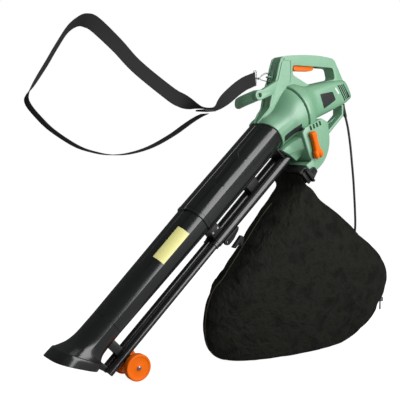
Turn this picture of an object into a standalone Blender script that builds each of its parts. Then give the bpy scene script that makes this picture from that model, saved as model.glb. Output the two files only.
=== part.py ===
"""Electric leaf blower and vacuum with collecting bag, shoulder strap and a short power lead.

Metres, +Z up, -X towards the nozzle, near side at -Y. The origin is the middle of the main grip,
where the hand holds the machine up.
"""

import math

import bmesh
import bpy
from mathutils import Matrix, Vector

# Driving dimensions of the whole machine
GAP = 0.0003
TUBE_TILT = math.radians(43.7)
MOTOR_TILT = math.radians(22.7)
TUBE_JOINT = (-0.400, 0.0, -0.450)
FAN_CENTRE = (-0.076, 0.0, -0.149)
FLOOR = -0.8464

# Suction tube, along the tube frame's X, its wide side across the machine
UPPER_HALF_Z = 0.0465
UPPER_HALF_Y = 0.0580
LOWER_HALF_Z = 0.0430
LOWER_HALF_Y = 0.0548
LOWER_END_HALF_Z = 0.0375
LOWER_END_HALF_Y = 0.0497
TUBE_WALL = 0.0025
UPPER_END = 0.364
COLLAR_FACE = 0.333
SPIGOT = 0.026
NOZZLE_JOINT = -0.357
TUBE_SIDES = 32
TUBE_POWER = 2.35

# Twin blower tubes under the suction tube
TWIN_Z = -0.090
TWIN_Y = 0.0172
TWIN_TOP_RADIUS = 0.0165
TWIN_RADIUS = 0.0140
TWIN_LOW_RADIUS = 0.0095
TWIN_WALL = 0.0018
TWIN_JOINT = 0.003
TWIN_END = -0.446
PORT_FACE = 0.340
TWIN_SOCKET = 0.368

# Wheels on the nozzle
WHEEL_RADIUS = 0.035
WHEEL_WIDTH = 0.020
WHEEL_Y = 0.038
WHEEL_S = -0.388
WHEEL_M = -0.129
AXLE_RADIUS = 0.003

# Motor housing
RIM_RADIUS = 0.083
CONE_END_RADIUS = 0.0780
FAN_ROOM_RADIUS = 0.0705
FAN_DROP = -0.0033
DUCT_HALF = 0.080
GRIP_HALF = 0.0205
WALL = 0.0035

# Motor
CAN_RADIUS = 0.038
SHAFT_RADIUS = 0.004
IMPELLER_RADIUS = 0.0665

# Bag mouth in the tube frame
MOUTH_TOP = -0.1175
MOUTH_BOTTOM = -0.1655
MOUTH_HALF = 0.0750
BAG_Y = -0.010

# Diverter shaft in world coordinates
FLAP_PIVOT = (-0.036, 0.0, -0.268)

# Strap and lead
STRAP_WIDTH = 0.038
STRAP_THICK = 0.0016
CORD_RADIUS = 0.0035


def clear_scene():
    for old in list(bpy.data.objects):
        bpy.data.objects.remove(old, do_unlink=True)


def finish(name, colour, roughness, metallic=0.0):
    made = bpy.data.materials.new(name)
    made.use_nodes = True
    shader = made.node_tree.nodes["Principled BSDF"]
    shader.inputs["Base Color"].default_value = (*colour, 1.0)
    shader.inputs["Roughness"].default_value = roughness
    shader.inputs["Metallic"].default_value = metallic
    made.diffuse_color = (*colour, 1.0)
    return made


def tilted_frame(name, origin, tilt):
    empty = bpy.data.objects.new(name, None)
    bpy.context.collection.objects.link(empty)
    empty.location = origin
    empty.rotation_euler = (0.0, -tilt, 0.0)
    bpy.context.view_layer.update()
    return empty


def add(name, bm, material, parent=None, location=(0, 0, 0), rotation=(0, 0, 0)):
    bmesh.ops.remove_doubles(bm, verts=bm.verts, dist=1e-6)
    bmesh.ops.recalc_face_normals(bm, faces=bm.faces)
    mesh = bpy.data.meshes.new(name)
    bm.to_mesh(mesh)
    bm.free()
    mesh.materials.append(material)
    obj = bpy.data.objects.new(name, mesh)
    bpy.context.collection.objects.link(obj)
    obj.parent = parent
    obj.location = location
    obj.rotation_euler = rotation
    mesh.shade_smooth()
    mesh.set_sharp_from_angle(angle=math.radians(35))
    return obj


def combine(target, tool, operation):
    """Boolean the tool into the target, keep the result and drop the tool."""
    bpy.context.view_layer.update()
    step = target.modifiers.new("combine", "BOOLEAN")
    step.operation = operation
    step.solver = "EXACT"
    step.object = tool
    view = bpy.context.evaluated_depsgraph_get()
    solid = bpy.data.meshes.new_from_object(target.evaluated_get(view))
    target.modifiers.clear()
    skin = target.data.materials[0]
    old = target.data
    target.data = solid
    solid.materials.clear()
    solid.materials.append(skin)
    bpy.data.meshes.remove(old)
    bpy.data.objects.remove(tool, do_unlink=True)
    solid.set_sharp_from_angle(angle=math.radians(35))
    return target


def cut(target, *tools):
    for tool in tools:
        combine(target, tool, "DIFFERENCE")
    return target


def join(target, *tools):
    for tool in tools:
        combine(target, tool, "UNION")
    return target


def oval_point(angle, power):
    c = math.cos(angle)
    s = math.sin(angle)
    return (
        math.copysign(abs(c) ** (2 / power), c),
        math.copysign(abs(s) ** (2 / power), s),
    )


def ring(top, bottom, half_y, power=2.0, sides=TUBE_SIDES, middle_y=0.0):
    """A closed oval whose highest and lowest points are given as (x, z)."""
    middle = ((top[0] + bottom[0]) / 2, (top[1] + bottom[1]) / 2)
    rise = ((top[0] - bottom[0]) / 2, (top[1] - bottom[1]) / 2)
    points = []
    for i in range(sides):
        across, up = oval_point(2 * math.pi * i / sides, power)
        x = middle[0] + rise[0] * up
        z = middle[1] + rise[1] * up
        points.append(Vector((x, middle_y + half_y * across, z)))
    return points


def upright(x, half_z, half_y, power=2.0, sides=TUBE_SIDES, z=0.0, y=0.0):
    return ring((x, z + half_z), (x, z - half_z), half_y, power, sides, y)


def skin_rings(bm, rings, closed=False):
    loops = [[bm.verts.new(p) for p in points] for points in rings]
    pairs = list(zip(loops, loops[1:]))
    if closed:
        pairs.append((loops[-1], loops[0]))
    for low, high in pairs:
        count = len(low)
        for i in range(count):
            j = (i + 1) % count
            bm.faces.new((low[i], low[j], high[j], high[i]))
    return loops


def loft(rings):
    bm = bmesh.new()
    loops = skin_rings(bm, rings)
    bm.faces.new(loops[0])
    bm.faces.new(loops[-1])
    return bm


def pipe(outer, inner):
    """A tube wall: the outer rings one way, the inner rings back."""
    bm = bmesh.new()
    skin_rings(bm, list(outer) + list(reversed(inner)), closed=True)
    return bm


def prism(outline, y_low, y_high):
    """Extrude an outline of (x, z) points along Y."""
    bm = bmesh.new()
    low = [bm.verts.new((x, y_low, z)) for x, z in outline]
    base = bm.faces.new(low)
    moved = bmesh.ops.extrude_face_region(bm, geom=[base])["geom"]
    tops = [v for v in moved if isinstance(v, bmesh.types.BMVert)]
    bmesh.ops.translate(bm, vec=(0, y_high - y_low, 0), verts=tops)
    return bm


def soften(bm, width, segments=2, along_y=True):
    """Round the rims of a prism, the edges that lie in its two flat faces."""
    rims = []
    for edge in bm.edges:
        run = edge.verts[1].co - edge.verts[0].co
        if along_y and abs(run.y) > 1e-6:
            continue
        rims.append(edge)
    bmesh.ops.bevel(
        bm, geom=rims, offset=width, segments=segments, profile=0.5,
        affect="EDGES", clamp_overlap=True,
    )
    return bm


def block(x0, x1, y0, y1, z0, z1):
    return prism([(x0, z0), (x1, z0), (x1, z1), (x0, z1)], y0, y1)


def round_block(x0, x1, y0, y1, z0, z1, radius):
    bm = block(x0, x1, y0, y1, z0, z1)
    bmesh.ops.bevel(
        bm, geom=list(bm.edges), offset=radius, segments=2, profile=0.5,
        affect="EDGES", clamp_overlap=True,
    )
    return bm


def turn(profile, sides=24, axis="X"):
    """Revolve (along, radius) points. Ends on the axis close with a point, others with a bore."""
    bm = bmesh.new()
    on_axis = profile[0][1] == 0
    loops = []
    for along, radius in profile:
        if radius == 0:
            loops.append([bm.verts.new((along, 0, 0))])
            continue
        loop = []
        for i in range(sides):
            a = 2 * math.pi * i / sides
            loop.append(bm.verts.new((along, radius * math.cos(a), radius * math.sin(a))))
        loops.append(loop)
    pairs = list(zip(loops, loops[1:]))
    if not on_axis:
        pairs.append((loops[-1], loops[0]))
    for low, high in pairs:
        for i in range(sides):
            j = (i + 1) % sides
            face = [low[i % len(low)], low[j % len(low)], high[j % len(high)], high[i % len(high)]]
            corners = list(dict.fromkeys(face))
            if len(corners) > 2:
                bm.faces.new(corners)
    if axis == "Y":
        bmesh.ops.rotate(bm, verts=bm.verts, matrix=Matrix.Rotation(math.pi / 2, 3, "Z"))
    if axis == "Z":
        bmesh.ops.rotate(bm, verts=bm.verts, matrix=Matrix.Rotation(-math.pi / 2, 3, "Y"))
    return bm


def rod(radius, start, end, sides=16, axis="X"):
    return turn([(start, 0), (start, radius), (end, radius), (end, 0)], sides, axis)


def washer(radius, bore, start, end, sides=24, axis="X"):
    return turn([(start, bore), (start, radius), (end, radius), (end, bore)], sides, axis)


def arc(centre, radius, start, end, steps):
    points = []
    for i in range(steps + 1):
        a = math.radians(start + (end - start) * i / steps)
        points.append((centre[0] + radius * math.cos(a), centre[1] + radius * math.sin(a)))
    return points


def rounded(outline, radius, steps=3):
    """Replace each corner of an outline by a short arc-like curve."""
    points = []
    count = len(outline)
    for i, corner in enumerate(outline):
        here = Vector(corner)
        before = Vector(outline[i - 1])
        after = Vector(outline[(i + 1) % count])
        back = min(radius, (before - here).length * 0.45)
        ahead = min(radius, (after - here).length * 0.45)
        start = here + (before - here).normalized() * back
        end = here + (after - here).normalized() * ahead
        for k in range(steps + 1):
            t = k / steps
            spot = start * (1 - t) ** 2 + here * 2 * t * (1 - t) + end * t**2
            points.append((spot.x, spot.y))
    return points


def smooth_path(points, spacing):
    """A smooth curve through the route's points, sampled at about even steps."""
    route = [Vector(p) for p in points]
    fine = []
    for i in range(len(route) - 1):
        p0 = route[max(i - 1, 0)]
        p1 = route[i]
        p2 = route[i + 1]
        p3 = route[min(i + 2, len(route) - 1)]
        for k in range(24):
            t = k / 24
            fine.append(
                0.5 * (2 * p1 + (p2 - p0) * t + (2 * p0 - 5 * p1 + 4 * p2 - p3) * t**2
                       + (3 * p1 - p0 - 3 * p2 + p3) * t**3)
            )
    fine.append(route[-1])
    travelled = [0.0]
    for a, b in zip(fine, fine[1:]):
        travelled.append(travelled[-1] + (b - a).length)
    count = max(2, round(travelled[-1] / spacing))
    samples = []
    j = 0
    for i in range(count + 1):
        goal = travelled[-1] * i / count
        while j < len(fine) - 2 and travelled[j + 1] < goal:
            j += 1
        span = travelled[j + 1] - travelled[j]
        samples.append(fine[j].lerp(fine[j + 1], (goal - travelled[j]) / span))
    return samples


def tangents(path):
    result = []
    last = len(path) - 1
    for i in range(len(path)):
        step = path[min(i + 1, last)] - path[max(i - 1, 0)]
        result.append(step.normalized())
    return result


def wire(path, radius, sides=8, closed=False):
    """A round wire along a path, carried without twist."""
    points = [Vector(p) for p in path]
    count = len(points)
    rings = []
    side = None
    for i, spot in enumerate(points):
        if closed:
            ahead = (points[(i + 1) % count] - points[i - 1]).normalized()
        else:
            ahead = (points[min(i + 1, count - 1)] - points[max(i - 1, 0)]).normalized()
        if side is None:
            pick = Vector((0, 1, 0)) if abs(ahead.y) < 0.9 else Vector((1, 0, 0))
            side = pick
        side = (side - ahead * side.dot(ahead)).normalized()
        other = ahead.cross(side)
        loop = []
        for k in range(sides):
            a = 2 * math.pi * k / sides
            loop.append(spot + (side * math.cos(a) + other * math.sin(a)) * radius)
        rings.append(loop)
    bm = bmesh.new()
    loops = skin_rings(bm, rings, closed=closed)
    if not closed:
        bm.faces.new(loops[0])
        bm.faces.new(loops[-1])
    return bm


class Kit:
    """The finishes and the two tilted frames that the pieces are placed in."""

    def __init__(self):
        self.green = finish("green_plastic", (0.22, 0.42, 0.28), 0.42)
        self.black = finish("black_plastic", (0.018, 0.019, 0.019), 0.36)
        self.orange = finish("orange_plastic", (0.90, 0.23, 0.02), 0.38)
        self.steel = finish("bright_steel", (0.62, 0.63, 0.64), 0.28, 1.0)
        self.copper = finish("copper_winding", (0.55, 0.22, 0.09), 0.35, 1.0)
        self.iron = finish("motor_iron", (0.20, 0.20, 0.21), 0.5, 1.0)
        self.carbon = finish("carbon_brush", (0.03, 0.03, 0.03), 0.7)
        self.fabric = finish("bag_fabric", (0.015, 0.015, 0.014), 0.9)
        self.webbing = finish("strap_webbing", (0.012, 0.012, 0.012), 0.85)
        self.rubber = finish("cord_rubber", (0.012, 0.012, 0.013), 0.55)
        self.tube = tilted_frame("tube_frame", TUBE_JOINT, TUBE_TILT)
        self.motor = tilted_frame("motor_frame", FAN_CENTRE, MOTOR_TILT)

    def in_world(self, frame, points):
        return [frame.matrix_world @ p for p in points]


def housing_body(kit):
    """The outer form of the moulded housing, still one solid."""
    tube_ring = lambda *a, **k: kit.in_world(kit.tube, upright(*a, **k))
    motor_ring = lambda *a, **k: kit.in_world(kit.motor, ring(*a, **k))
    cone = loft([
        tube_ring(COLLAR_FACE, 0.0500, 0.0620, TUBE_POWER),
        tube_ring(0.352, 0.0502, 0.0622, TUBE_POWER),
        tube_ring(0.385, 0.0535, 0.0680, 2.2, z=-0.0025),
        motor_ring((-0.030, 0.066), (-0.030, -0.0765), 0.0755),
        motor_ring((-0.006, 0.0746), (-0.006, -0.0805), CONE_END_RADIUS),
        motor_ring((0.015, CONE_END_RADIUS + FAN_DROP), (0.015, FAN_DROP - CONE_END_RADIUS),
                   CONE_END_RADIUS),
    ])
    drum = loft([
        motor_ring((0.0075, RIM_RADIUS + FAN_DROP), (0.0075, FAN_DROP - RIM_RADIUS), RIM_RADIUS),
        motor_ring((0.018, RIM_RADIUS + FAN_DROP), (0.018, FAN_DROP - RIM_RADIUS), RIM_RADIUS),
        motor_ring((0.034, 0.0765), (0.034, -0.0770), 0.0785, 2.1),
        motor_ring((0.050, 0.068), (0.050, -0.064), 0.066, 2.3),
        motor_ring((0.070, 0.057), (0.070, -0.051), 0.053, 2.8),
        motor_ring((0.165, 0.037), (0.165, -0.048), 0.044, 3.4),
        motor_ring((0.198, 0.0285), (0.198, -0.048), 0.0400, 3.4),
        motor_ring((0.212, 0.0250), (0.212, -0.0475), 0.0350, 3.2),
        motor_ring((0.224, 0.0215), (0.224, -0.0470), 0.0265, 3.2),
        motor_ring((0.240, 0.0160), (0.240, -0.0450), 0.0120, 3.2),
    ])
    body = add("housing_near", cone, kit.green)
    join(body, add("drum", drum, kit.green))
    outline = [
        (-0.140, -0.155), (-0.157, -0.140), (-0.147, -0.090), (-0.133, -0.052),
        (-0.1215, 0.000), (-0.1150, 0.0085), (-0.0940, 0.0125), (-0.0367, 0.0188),
        (0.0080, 0.0208), (0.0300, 0.0208), (0.0620, 0.0188), (0.0800, 0.0168),
        (0.0890, 0.0090), (0.180, -0.1250), (0.120, -0.1350), (0.000, -0.1600),
        (-0.100, -0.160),
    ]
    slab = soften(prism(outline, -GRIP_HALF, GRIP_HALF), 0.005)
    join(body, add("slab", slab, kit.green))
    crest = loft([
        ring((-0.1500, -0.115), (-0.1330, -0.122), 0.0200, 6.0),
        ring((-0.1572, -0.140), (-0.1430, -0.150), 0.0195, 6.0),
        ring((-0.1730, -0.161), (-0.1600, -0.172), 0.0140, 5.0),
        ring((-0.1925, -0.1825), (-0.1805, -0.194), 0.0080, 4.0),
    ])
    join(body, add("crest", crest, kit.green))
    window = rounded(
        [(-0.0770, -0.0105), (-0.0765, -0.0410), (-0.0130, -0.0670),
         (0.0900, -0.0440), (0.0800, -0.0105)],
        0.010,
    )
    window_cutter = prism(window, -0.12, 0.12)
    cut(body, add("window", window_cutter, kit.green))
    join(body, add("duct", duct_outside(), kit.green))
    port = loft(kit.in_world(kit.tube, points) for points in (
        ring((PORT_FACE, -0.0500), (PORT_FACE, -0.1125), 0.0450, 4.0),
        ring((0.372, -0.0480), (0.372, -0.1125), 0.0520, 4.0),
        ring((0.415, -0.0480), (0.405, -0.1090), 0.0620, 4.0),
    ))
    join(body, add("port", port, kit.green))
    rear = rounded(
        [(0.0883, 0.060), (0.0883, 0.0090), (0.1225, -0.0497), (0.1535, -0.0930),
         (0.1530, -0.1020), (0.1265, -0.1235), (0.1265, -0.200), (0.30, -0.200), (0.30, 0.060)],
        0.006,
    )
    cut(body, add("rear_trim", prism(rear, -0.12, 0.12), kit.green))
    join(body, add("loop", rear_loop(), kit.green))
    return body


def duct_outline(inset):
    """The side outline of the outlet elbow, drawn inside itself by the inset."""
    elbow = arc((-0.080, -0.230), 0.098 - inset, 12, -60, 9)
    mouth = [(-0.0726 + inset * 0.69, -0.3004 - inset * 0.72),
             (-0.0402 - inset * 0.69, -0.3344 + inset * 0.72)]
    if inset:
        out = Vector((-math.cos(TUBE_TILT), -math.sin(TUBE_TILT))) * 0.010
        mouth = [(x + out.x, z + out.y) for x, z in mouth]
    return [
        (-0.0940 + inset, -0.1810),
        (-0.0500 + inset, -0.2860 + inset * 0.5),
    ] + mouth + elbow[::-1] + [(0.0110 - inset, -0.1730), (-0.0300, -0.1500 - inset)]


def duct_outside():
    return soften(prism(duct_outline(0.0), -DUCT_HALF, DUCT_HALF), 0.004)


def rear_loop():
    """The flat hoop between the tail of the housing and the outlet elbow."""
    outer = [(0.1240, -0.1100), (0.1290, -0.1260), (0.1290, -0.1520), (0.0080, -0.2690)]
    inner = [(0.0040, -0.2560), (0.1215, -0.1480), (0.1215, -0.1260), (0.1150, -0.1100)]
    return soften(prism(outer + inner, -0.020, 0.020), 0.002, 1)


def fan_room(kit):
    """Every hollow of the housing, as one solid that is taken out of it."""
    tube_ring = lambda *a, **k: kit.in_world(kit.tube, upright(*a, **k))
    motor_ring = lambda *a, **k: kit.in_world(kit.motor, ring(*a, **k))
    socket_z = UPPER_HALF_Z + GAP
    socket_y = UPPER_HALF_Y + GAP
    socket = loft([
        tube_ring(0.320, socket_z, socket_y, TUBE_POWER),
        tube_ring(UPPER_END + GAP, socket_z, socket_y, TUBE_POWER),
    ])
    throat = loft([
        tube_ring(UPPER_END - 0.002, 0.0440, 0.0550, TUBE_POWER),
        motor_ring((-0.040, 0.0470), (-0.040, -0.0590), 0.060),
        motor_ring((0.002, 0.060), (0.002, -0.060), 0.060),
    ])
    hollow = add("hollow", socket, kit.green)
    join(hollow, add("throat", throat, kit.green))
    chamber = rod(FAN_ROOM_RADIUS, -0.006, 0.024, 40)
    join(hollow, add("chamber", chamber, kit.green, kit.motor))
    motor_room = turn(
        [(0.034, 0), (0.034, 0.044), (0.100, 0.044), (0.112, 0.036), (0.172, 0.033), (0.172, 0)], 32
    )
    bearing_seat = rod(0.0115, 0.020, 0.040, 24)
    tail = round_block(0.168, 0.200, -0.027, 0.027, -0.037, 0.016, 0.006)
    rooms = add("motor_room", motor_room, kit.green, kit.motor)
    join(rooms, add("seat", bearing_seat, kit.green, kit.motor))
    join(rooms, add("tail", tail, kit.green, kit.motor))
    duct = prism(duct_outline(0.0045), -DUCT_HALF + 0.004, DUCT_HALF - 0.004)
    join(hollow, add("duct_room", duct, kit.green))
    blow = round_block(0.366, 0.412, -0.040, 0.040, -0.107, -0.069, 0.004)
    join(hollow, add("blow_room", blow, kit.green, kit.tube))
    for side in (-1, 1):
        bore = rod(TWIN_TOP_RADIUS + GAP, 0.330, TWIN_SOCKET + GAP, 24)
        join(hollow, add("bore", bore, kit.green, kit.tube, (0, side * TWIN_Y, TWIN_Z)))
    return hollow, rooms


def housing(kit):
    body = housing_body(kit)
    hollow, rooms = fan_room(kit)
    cut(body, hollow, rooms)
    catch = block(0.3420, 0.3520, -0.0810, -0.0760, -0.1580, -0.1360)
    join(body, add("latch_catch", catch, kit.green, kit.tube))
    slot = block(-0.0665, 0.0330, -0.0115, 0.0115, -0.0200, 0.0095)
    cut(body, add("trigger_slot", slot, kit.green))
    shaft = rod(0.0045, -0.10, 0.10, 16, "Y")
    cut(body, add("shaft_hole", shaft, kit.green, None, FLAP_PIVOT))
    for i in range(4):
        slit = block(-0.0035, 0.0035, -0.084, -0.0775, -0.006, 0.006)
        spot = kit.motor.matrix_world @ Vector((0.000 + 0.0135 * i, 0, -0.0555))
        cut(body, add("slit", slit, kit.green, None, spot, (0, -MOTOR_TILT, 0)))
    for side in (-1, 1):
        for i in range(4):
            y_low = min(side * 0.060, side * 0.024)
            slit = block(-0.0015, 0.0015, y_low, y_low + 0.036, -0.0183, 0.0183)
            spot = (0.0950 + 0.0079 * i, 0.0, -0.0752 + 0.0021 * i)
            cut(body, add("slit", slit, kit.green, None, spot, (0, math.radians(147), 0)))
    exit_hole = rod(0.0062, -0.030, 0.020, 16, "Z")
    cut(body, add("exit_hole", exit_hole, kit.green, None, CORD_EXIT, CORD_LEAN))
    far = body.copy()
    far.data = body.data.copy()
    far.name = "housing_far"
    bpy.context.collection.objects.link(far)
    keep_near = block(-0.40, 0.40, -0.30, -GAP / 2, -0.50, 0.20)
    keep_far = block(-0.40, 0.40, GAP / 2, 0.30, -0.50, 0.20)
    combine(body, add("near_half", keep_near, kit.green), "INTERSECT")
    combine(far, add("far_half", keep_far, kit.green), "INTERSECT")
    return body, far


# Where the lead leaves the tail, and how far it leans back from straight down
CORD_EXIT = (0.1400, 0.0, -0.1160)
CORD_LEAN = (0, math.radians(-24), 0)


def motor_pieces(kit):
    frame = kit.motor
    stator = turn([(0.046, 0.0285), (0.046, CAN_RADIUS), (0.098, CAN_RADIUS), (0.098, 0.0285)], 32)
    add("motor_stator", stator, kit.iron, frame)
    plate = turn(
        [(0.0346, 0.0120), (0.0346, 0.0430), (0.0400, 0.0430), (0.0400, 0.0120)], 32
    )
    add("motor_bulkhead", plate, kit.black, frame)
    armature = turn(
        [(0.052, 0.0045), (0.052, 0.0265), (0.092, 0.0265), (0.092, 0.0045)], 24
    )
    add("armature_core", armature, kit.copper, frame)
    shaft = turn(
        [(-0.012, 0), (-0.012, SHAFT_RADIUS), (0.150, SHAFT_RADIUS), (0.150, 0)], 16
    )
    add("motor_shaft", shaft, kit.steel, frame)
    commutator = washer(0.0115, 0.0045, 0.104, 0.120, 24)
    add("commutator", commutator, kit.copper, frame)
    front = washer(0.0110, 0.0045, 0.0250, 0.0335, 24)
    add("front_bearing", front, kit.steel, frame)
    rear = washer(0.0110, 0.0045, 0.134, 0.143, 24)
    add("rear_bearing", rear, kit.steel, frame)
    for side, word in ((1, "upper"), (-1, "lower")):
        brush = block(0.106, 0.118, -0.004, 0.004, min(side * 0.012, side * 0.029),
                      max(side * 0.012, side * 0.029))
        add(f"carbon_brush_{word}", brush, kit.carbon, frame)
    add("motor_impeller", impeller(), kit.black, frame)
    nut = turn([(-0.0115, 0.0049), (-0.0115, 0.0090), (-0.0065, 0.0090), (-0.0065, 0.0049)], 6)
    add("impeller_nut", nut, kit.steel, frame)


def impeller():
    """Back plate, hub and eight curved vanes in one moulding."""
    bm = turn(
        [(-0.006, 0.0045), (-0.006, 0.0150), (0.0165, 0.0200), (0.0165, IMPELLER_RADIUS),
         (0.0195, IMPELLER_RADIUS), (0.0195, 0.0045)], 32
    )
    plain = bpy.data.materials.new("vane")
    base = add("impeller_base", bm, plain)
    for k in range(8):
        vane = bmesh.new()
        rows = []
        for i in range(6):
            t = i / 5
            radius = 0.0165 + t * (IMPELLER_RADIUS - 0.0185)
            sweep = math.radians(45 * k + 38 * t)
            out = Vector((0, math.cos(sweep), math.sin(sweep)))
            across = Vector((0, -math.sin(sweep), math.cos(sweep))) * 0.0012
            front = -0.0045 + 0.0085 * t
            rows.append([
                out * radius - across + Vector((0.0175, 0, 0)),
                out * radius + across + Vector((0.0175, 0, 0)),
                out * radius + across + Vector((front, 0, 0)),
                out * radius - across + Vector((front, 0, 0)),
            ])
        loops = skin_rings(vane, rows)
        vane.faces.new(loops[0])
        vane.faces.new(loops[-1])
        join(base, add("vane", vane, plain))
    bm = bmesh.new()
    bm.from_mesh(base.data)
    bpy.data.objects.remove(base, do_unlink=True)
    return bm


def trigger(kit):
    """The finger paddle under the grip, hinged at its front end."""
    pivot = Vector((-0.0600, 0.0, 0.0010))
    profile = rounded(
        [(-0.0630, 0.0050), (-0.0655, -0.0150), (-0.0640, -0.0262), (-0.0570, -0.0275),
         (0.0030, -0.0243), (0.0105, -0.0200), (0.0110, -0.0115), (0.0240, -0.0110),
         (0.0240, -0.0070), (-0.0350, -0.0020)],
        0.003, 2,
    )
    local = [(x - pivot.x, z - pivot.z) for x, z in profile]
    paddle = soften(prism(local, -0.0105, 0.0105), 0.002)
    lever = add("trigger", paddle, kit.orange, None, pivot)
    hole = rod(0.0023, -0.02, 0.02, 12, "Y")
    cut(lever, add("pin_hole", hole, kit.orange, None, pivot))
    add("trigger_pin", rod(0.0020, -0.0112, 0.0112, 12, "Y"), kit.steel, None, pivot)
    add("trigger_switch", block(0.0262, 0.0325, -0.0085, 0.0085, -0.0080, 0.0090), kit.black)


def diverter(kit):
    """Selector lever outside, shaft through the walls and flap inside, all on one pivot."""
    lean = math.radians(-19.3)
    arm = rounded(
        [(-0.0125, -0.0100), (-0.0065, -0.0160), (0.0065, -0.0160), (0.0125, -0.0100),
         (0.0105, 0.0120), (0.0085, 0.0600), (0.0060, 0.0650), (-0.0060, 0.0650),
         (-0.0085, 0.0600), (-0.0105, 0.0120)],
        0.004, 2,
    )
    bm = soften(prism(arm, -0.0960, -DUCT_HALF - 0.0006), 0.0035)
    add("selector_lever", bm, kit.orange, None, FLAP_PIVOT, (0, lean, 0))
    shaft = rod(0.0040, -0.0800, 0.0780, 16, "Y")
    add("diverter_shaft", shaft, kit.steel, None, FLAP_PIVOT)
    leaf = block(-0.0012, 0.0012, -0.0740, 0.0740, 0.0048, 0.0440)
    flap = add("diverter_flap", leaf, kit.black, None, FLAP_PIVOT, (0, lean, 0))
    sleeve = washer(0.0072, 0.0043, -0.0740, 0.0740, 20, "Y")
    join(flap, add("sleeve", sleeve, kit.black, None, FLAP_PIVOT, (0, lean, 0)))


def tube_section(x, half_z, half_y):
    return upright(x, half_z, half_y, TUBE_POWER)


def suction_tubes(kit):
    frame = kit.tube
    wall = TUBE_WALL
    outer = [tube_section(0.0, UPPER_HALF_Z, UPPER_HALF_Y),
             tube_section(UPPER_END, UPPER_HALF_Z, UPPER_HALF_Y)]
    inner = [tube_section(0.0, UPPER_HALF_Z - wall, UPPER_HALF_Y - wall),
             tube_section(UPPER_END, UPPER_HALF_Z - wall, UPPER_HALF_Y - wall)]
    add("upper_suction_tube", pipe(outer, inner), kit.black, frame)
    end_z = LOWER_END_HALF_Z
    end_y = LOWER_END_HALF_Y
    slim = 0.0022
    tip = NOZZLE_JOINT - SPIGOT
    outer = [
        tube_section(tip, end_z - slim, end_y - slim),
        tube_section(NOZZLE_JOINT, end_z - slim, end_y - slim),
        tube_section(NOZZLE_JOINT + 0.0003, end_z, end_y),
        tube_section(-0.001, LOWER_HALF_Z, LOWER_HALF_Y),
        tube_section(0.030, LOWER_HALF_Z, LOWER_HALF_Y),
    ]
    inner = [
        tube_section(tip, end_z - slim - 0.002, end_y - slim - 0.002),
        tube_section(NOZZLE_JOINT, end_z - slim - 0.002, end_y - slim - 0.002),
        tube_section(NOZZLE_JOINT + 0.0003, end_z - slim - 0.002, end_y - slim - 0.002),
        tube_section(-0.001, LOWER_HALF_Z - wall, LOWER_HALF_Y - wall),
        tube_section(0.030, LOWER_HALF_Z - wall, LOWER_HALF_Y - wall),
    ]
    add("lower_suction_tube", pipe(outer, inner), kit.black, frame)


def nozzle(kit):
    """The flared mouth piece with its two webs, tube saddles and the axle block."""
    frame = kit.tube
    wall = 0.0022

    def section(top, bottom, half_y, inset, power=2.3):
        up = (Vector(top) - Vector(bottom)).normalized() * inset
        return ring(
            (top[0] - up.x, top[1] - up.y), (bottom[0] + up.x, bottom[1] + up.y),
            half_y - inset, power,
        )

    stations = [
        ((NOZZLE_JOINT - GAP, 0.0375), (NOZZLE_JOINT - GAP, -0.0375), 0.0497, TUBE_POWER),
        ((-0.390, 0.0375), (-0.388, -0.0378), 0.0500, TUBE_POWER),
        ((-0.425, 0.0378), (-0.411, -0.0380), 0.0505, TUBE_POWER),
        ((-0.452, 0.0425), (-0.425, -0.0390), 0.0520, 2.4),
        ((-0.470, 0.0500), (-0.435, -0.0420), 0.0550, 2.5),
        ((-0.484, 0.0575), (-0.440, -0.0455), 0.0585, 2.7),
        ((-0.486, 0.0595), (-0.442, -0.0475), 0.0610, 2.8),
        ((-0.518, 0.0600), (-0.4615, -0.0500), 0.0630, 2.8),
    ]
    body = add("nozzle", loft([section(t, b, y, 0.0, p) for t, b, y, p in stations]), kit.black, frame)
    low_web = prism([(-0.4580, -0.0470), (-0.4385, -0.0395), (-0.4320, -0.0980), (-0.4440, -0.0980)],
                    -0.0085, 0.0085)
    high_web = prism([(-0.3990, -0.0370), (-0.3750, -0.0370), (-0.3750, -0.1010), (-0.3990, -0.1010)],
                     -0.0085, 0.0085)
    axle_block = prism([(-0.4010, -0.1005), (-0.3750, -0.1005), (-0.3790, -0.1370), (-0.3970, -0.1370)],
                       -0.0255, 0.0255)
    for name, bm in (("low_web", low_web), ("high_web", high_web), ("axle_block", axle_block)):
        join(body, add(name, bm, kit.black, frame))
    bore_in = [section(t, b, y, wall, p) for t, b, y, p in stations]
    first = [point + Vector((0.010, 0, 0)) for point in bore_in[0]]
    last = [point + Vector((-0.010, 0, -0.002)) for point in bore_in[-1]]
    inside = loft([first] + bore_in[1:-1] + [last])
    cut(body, add("inside", inside, kit.black, frame))
    for side in (-1, 1):
        groove = rod(TWIN_LOW_RADIUS + GAP, -0.480, -0.350, 20)
        cut(body, add("groove", groove, kit.black, frame, (0, side * TWIN_Y, TWIN_Z)))
    bore = rod(AXLE_RADIUS + GAP, -0.03, 0.03, 16, "Y")
    cut(body, add("axle_bore", bore, kit.black, frame, (WHEEL_S, 0, WHEEL_M)))


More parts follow.
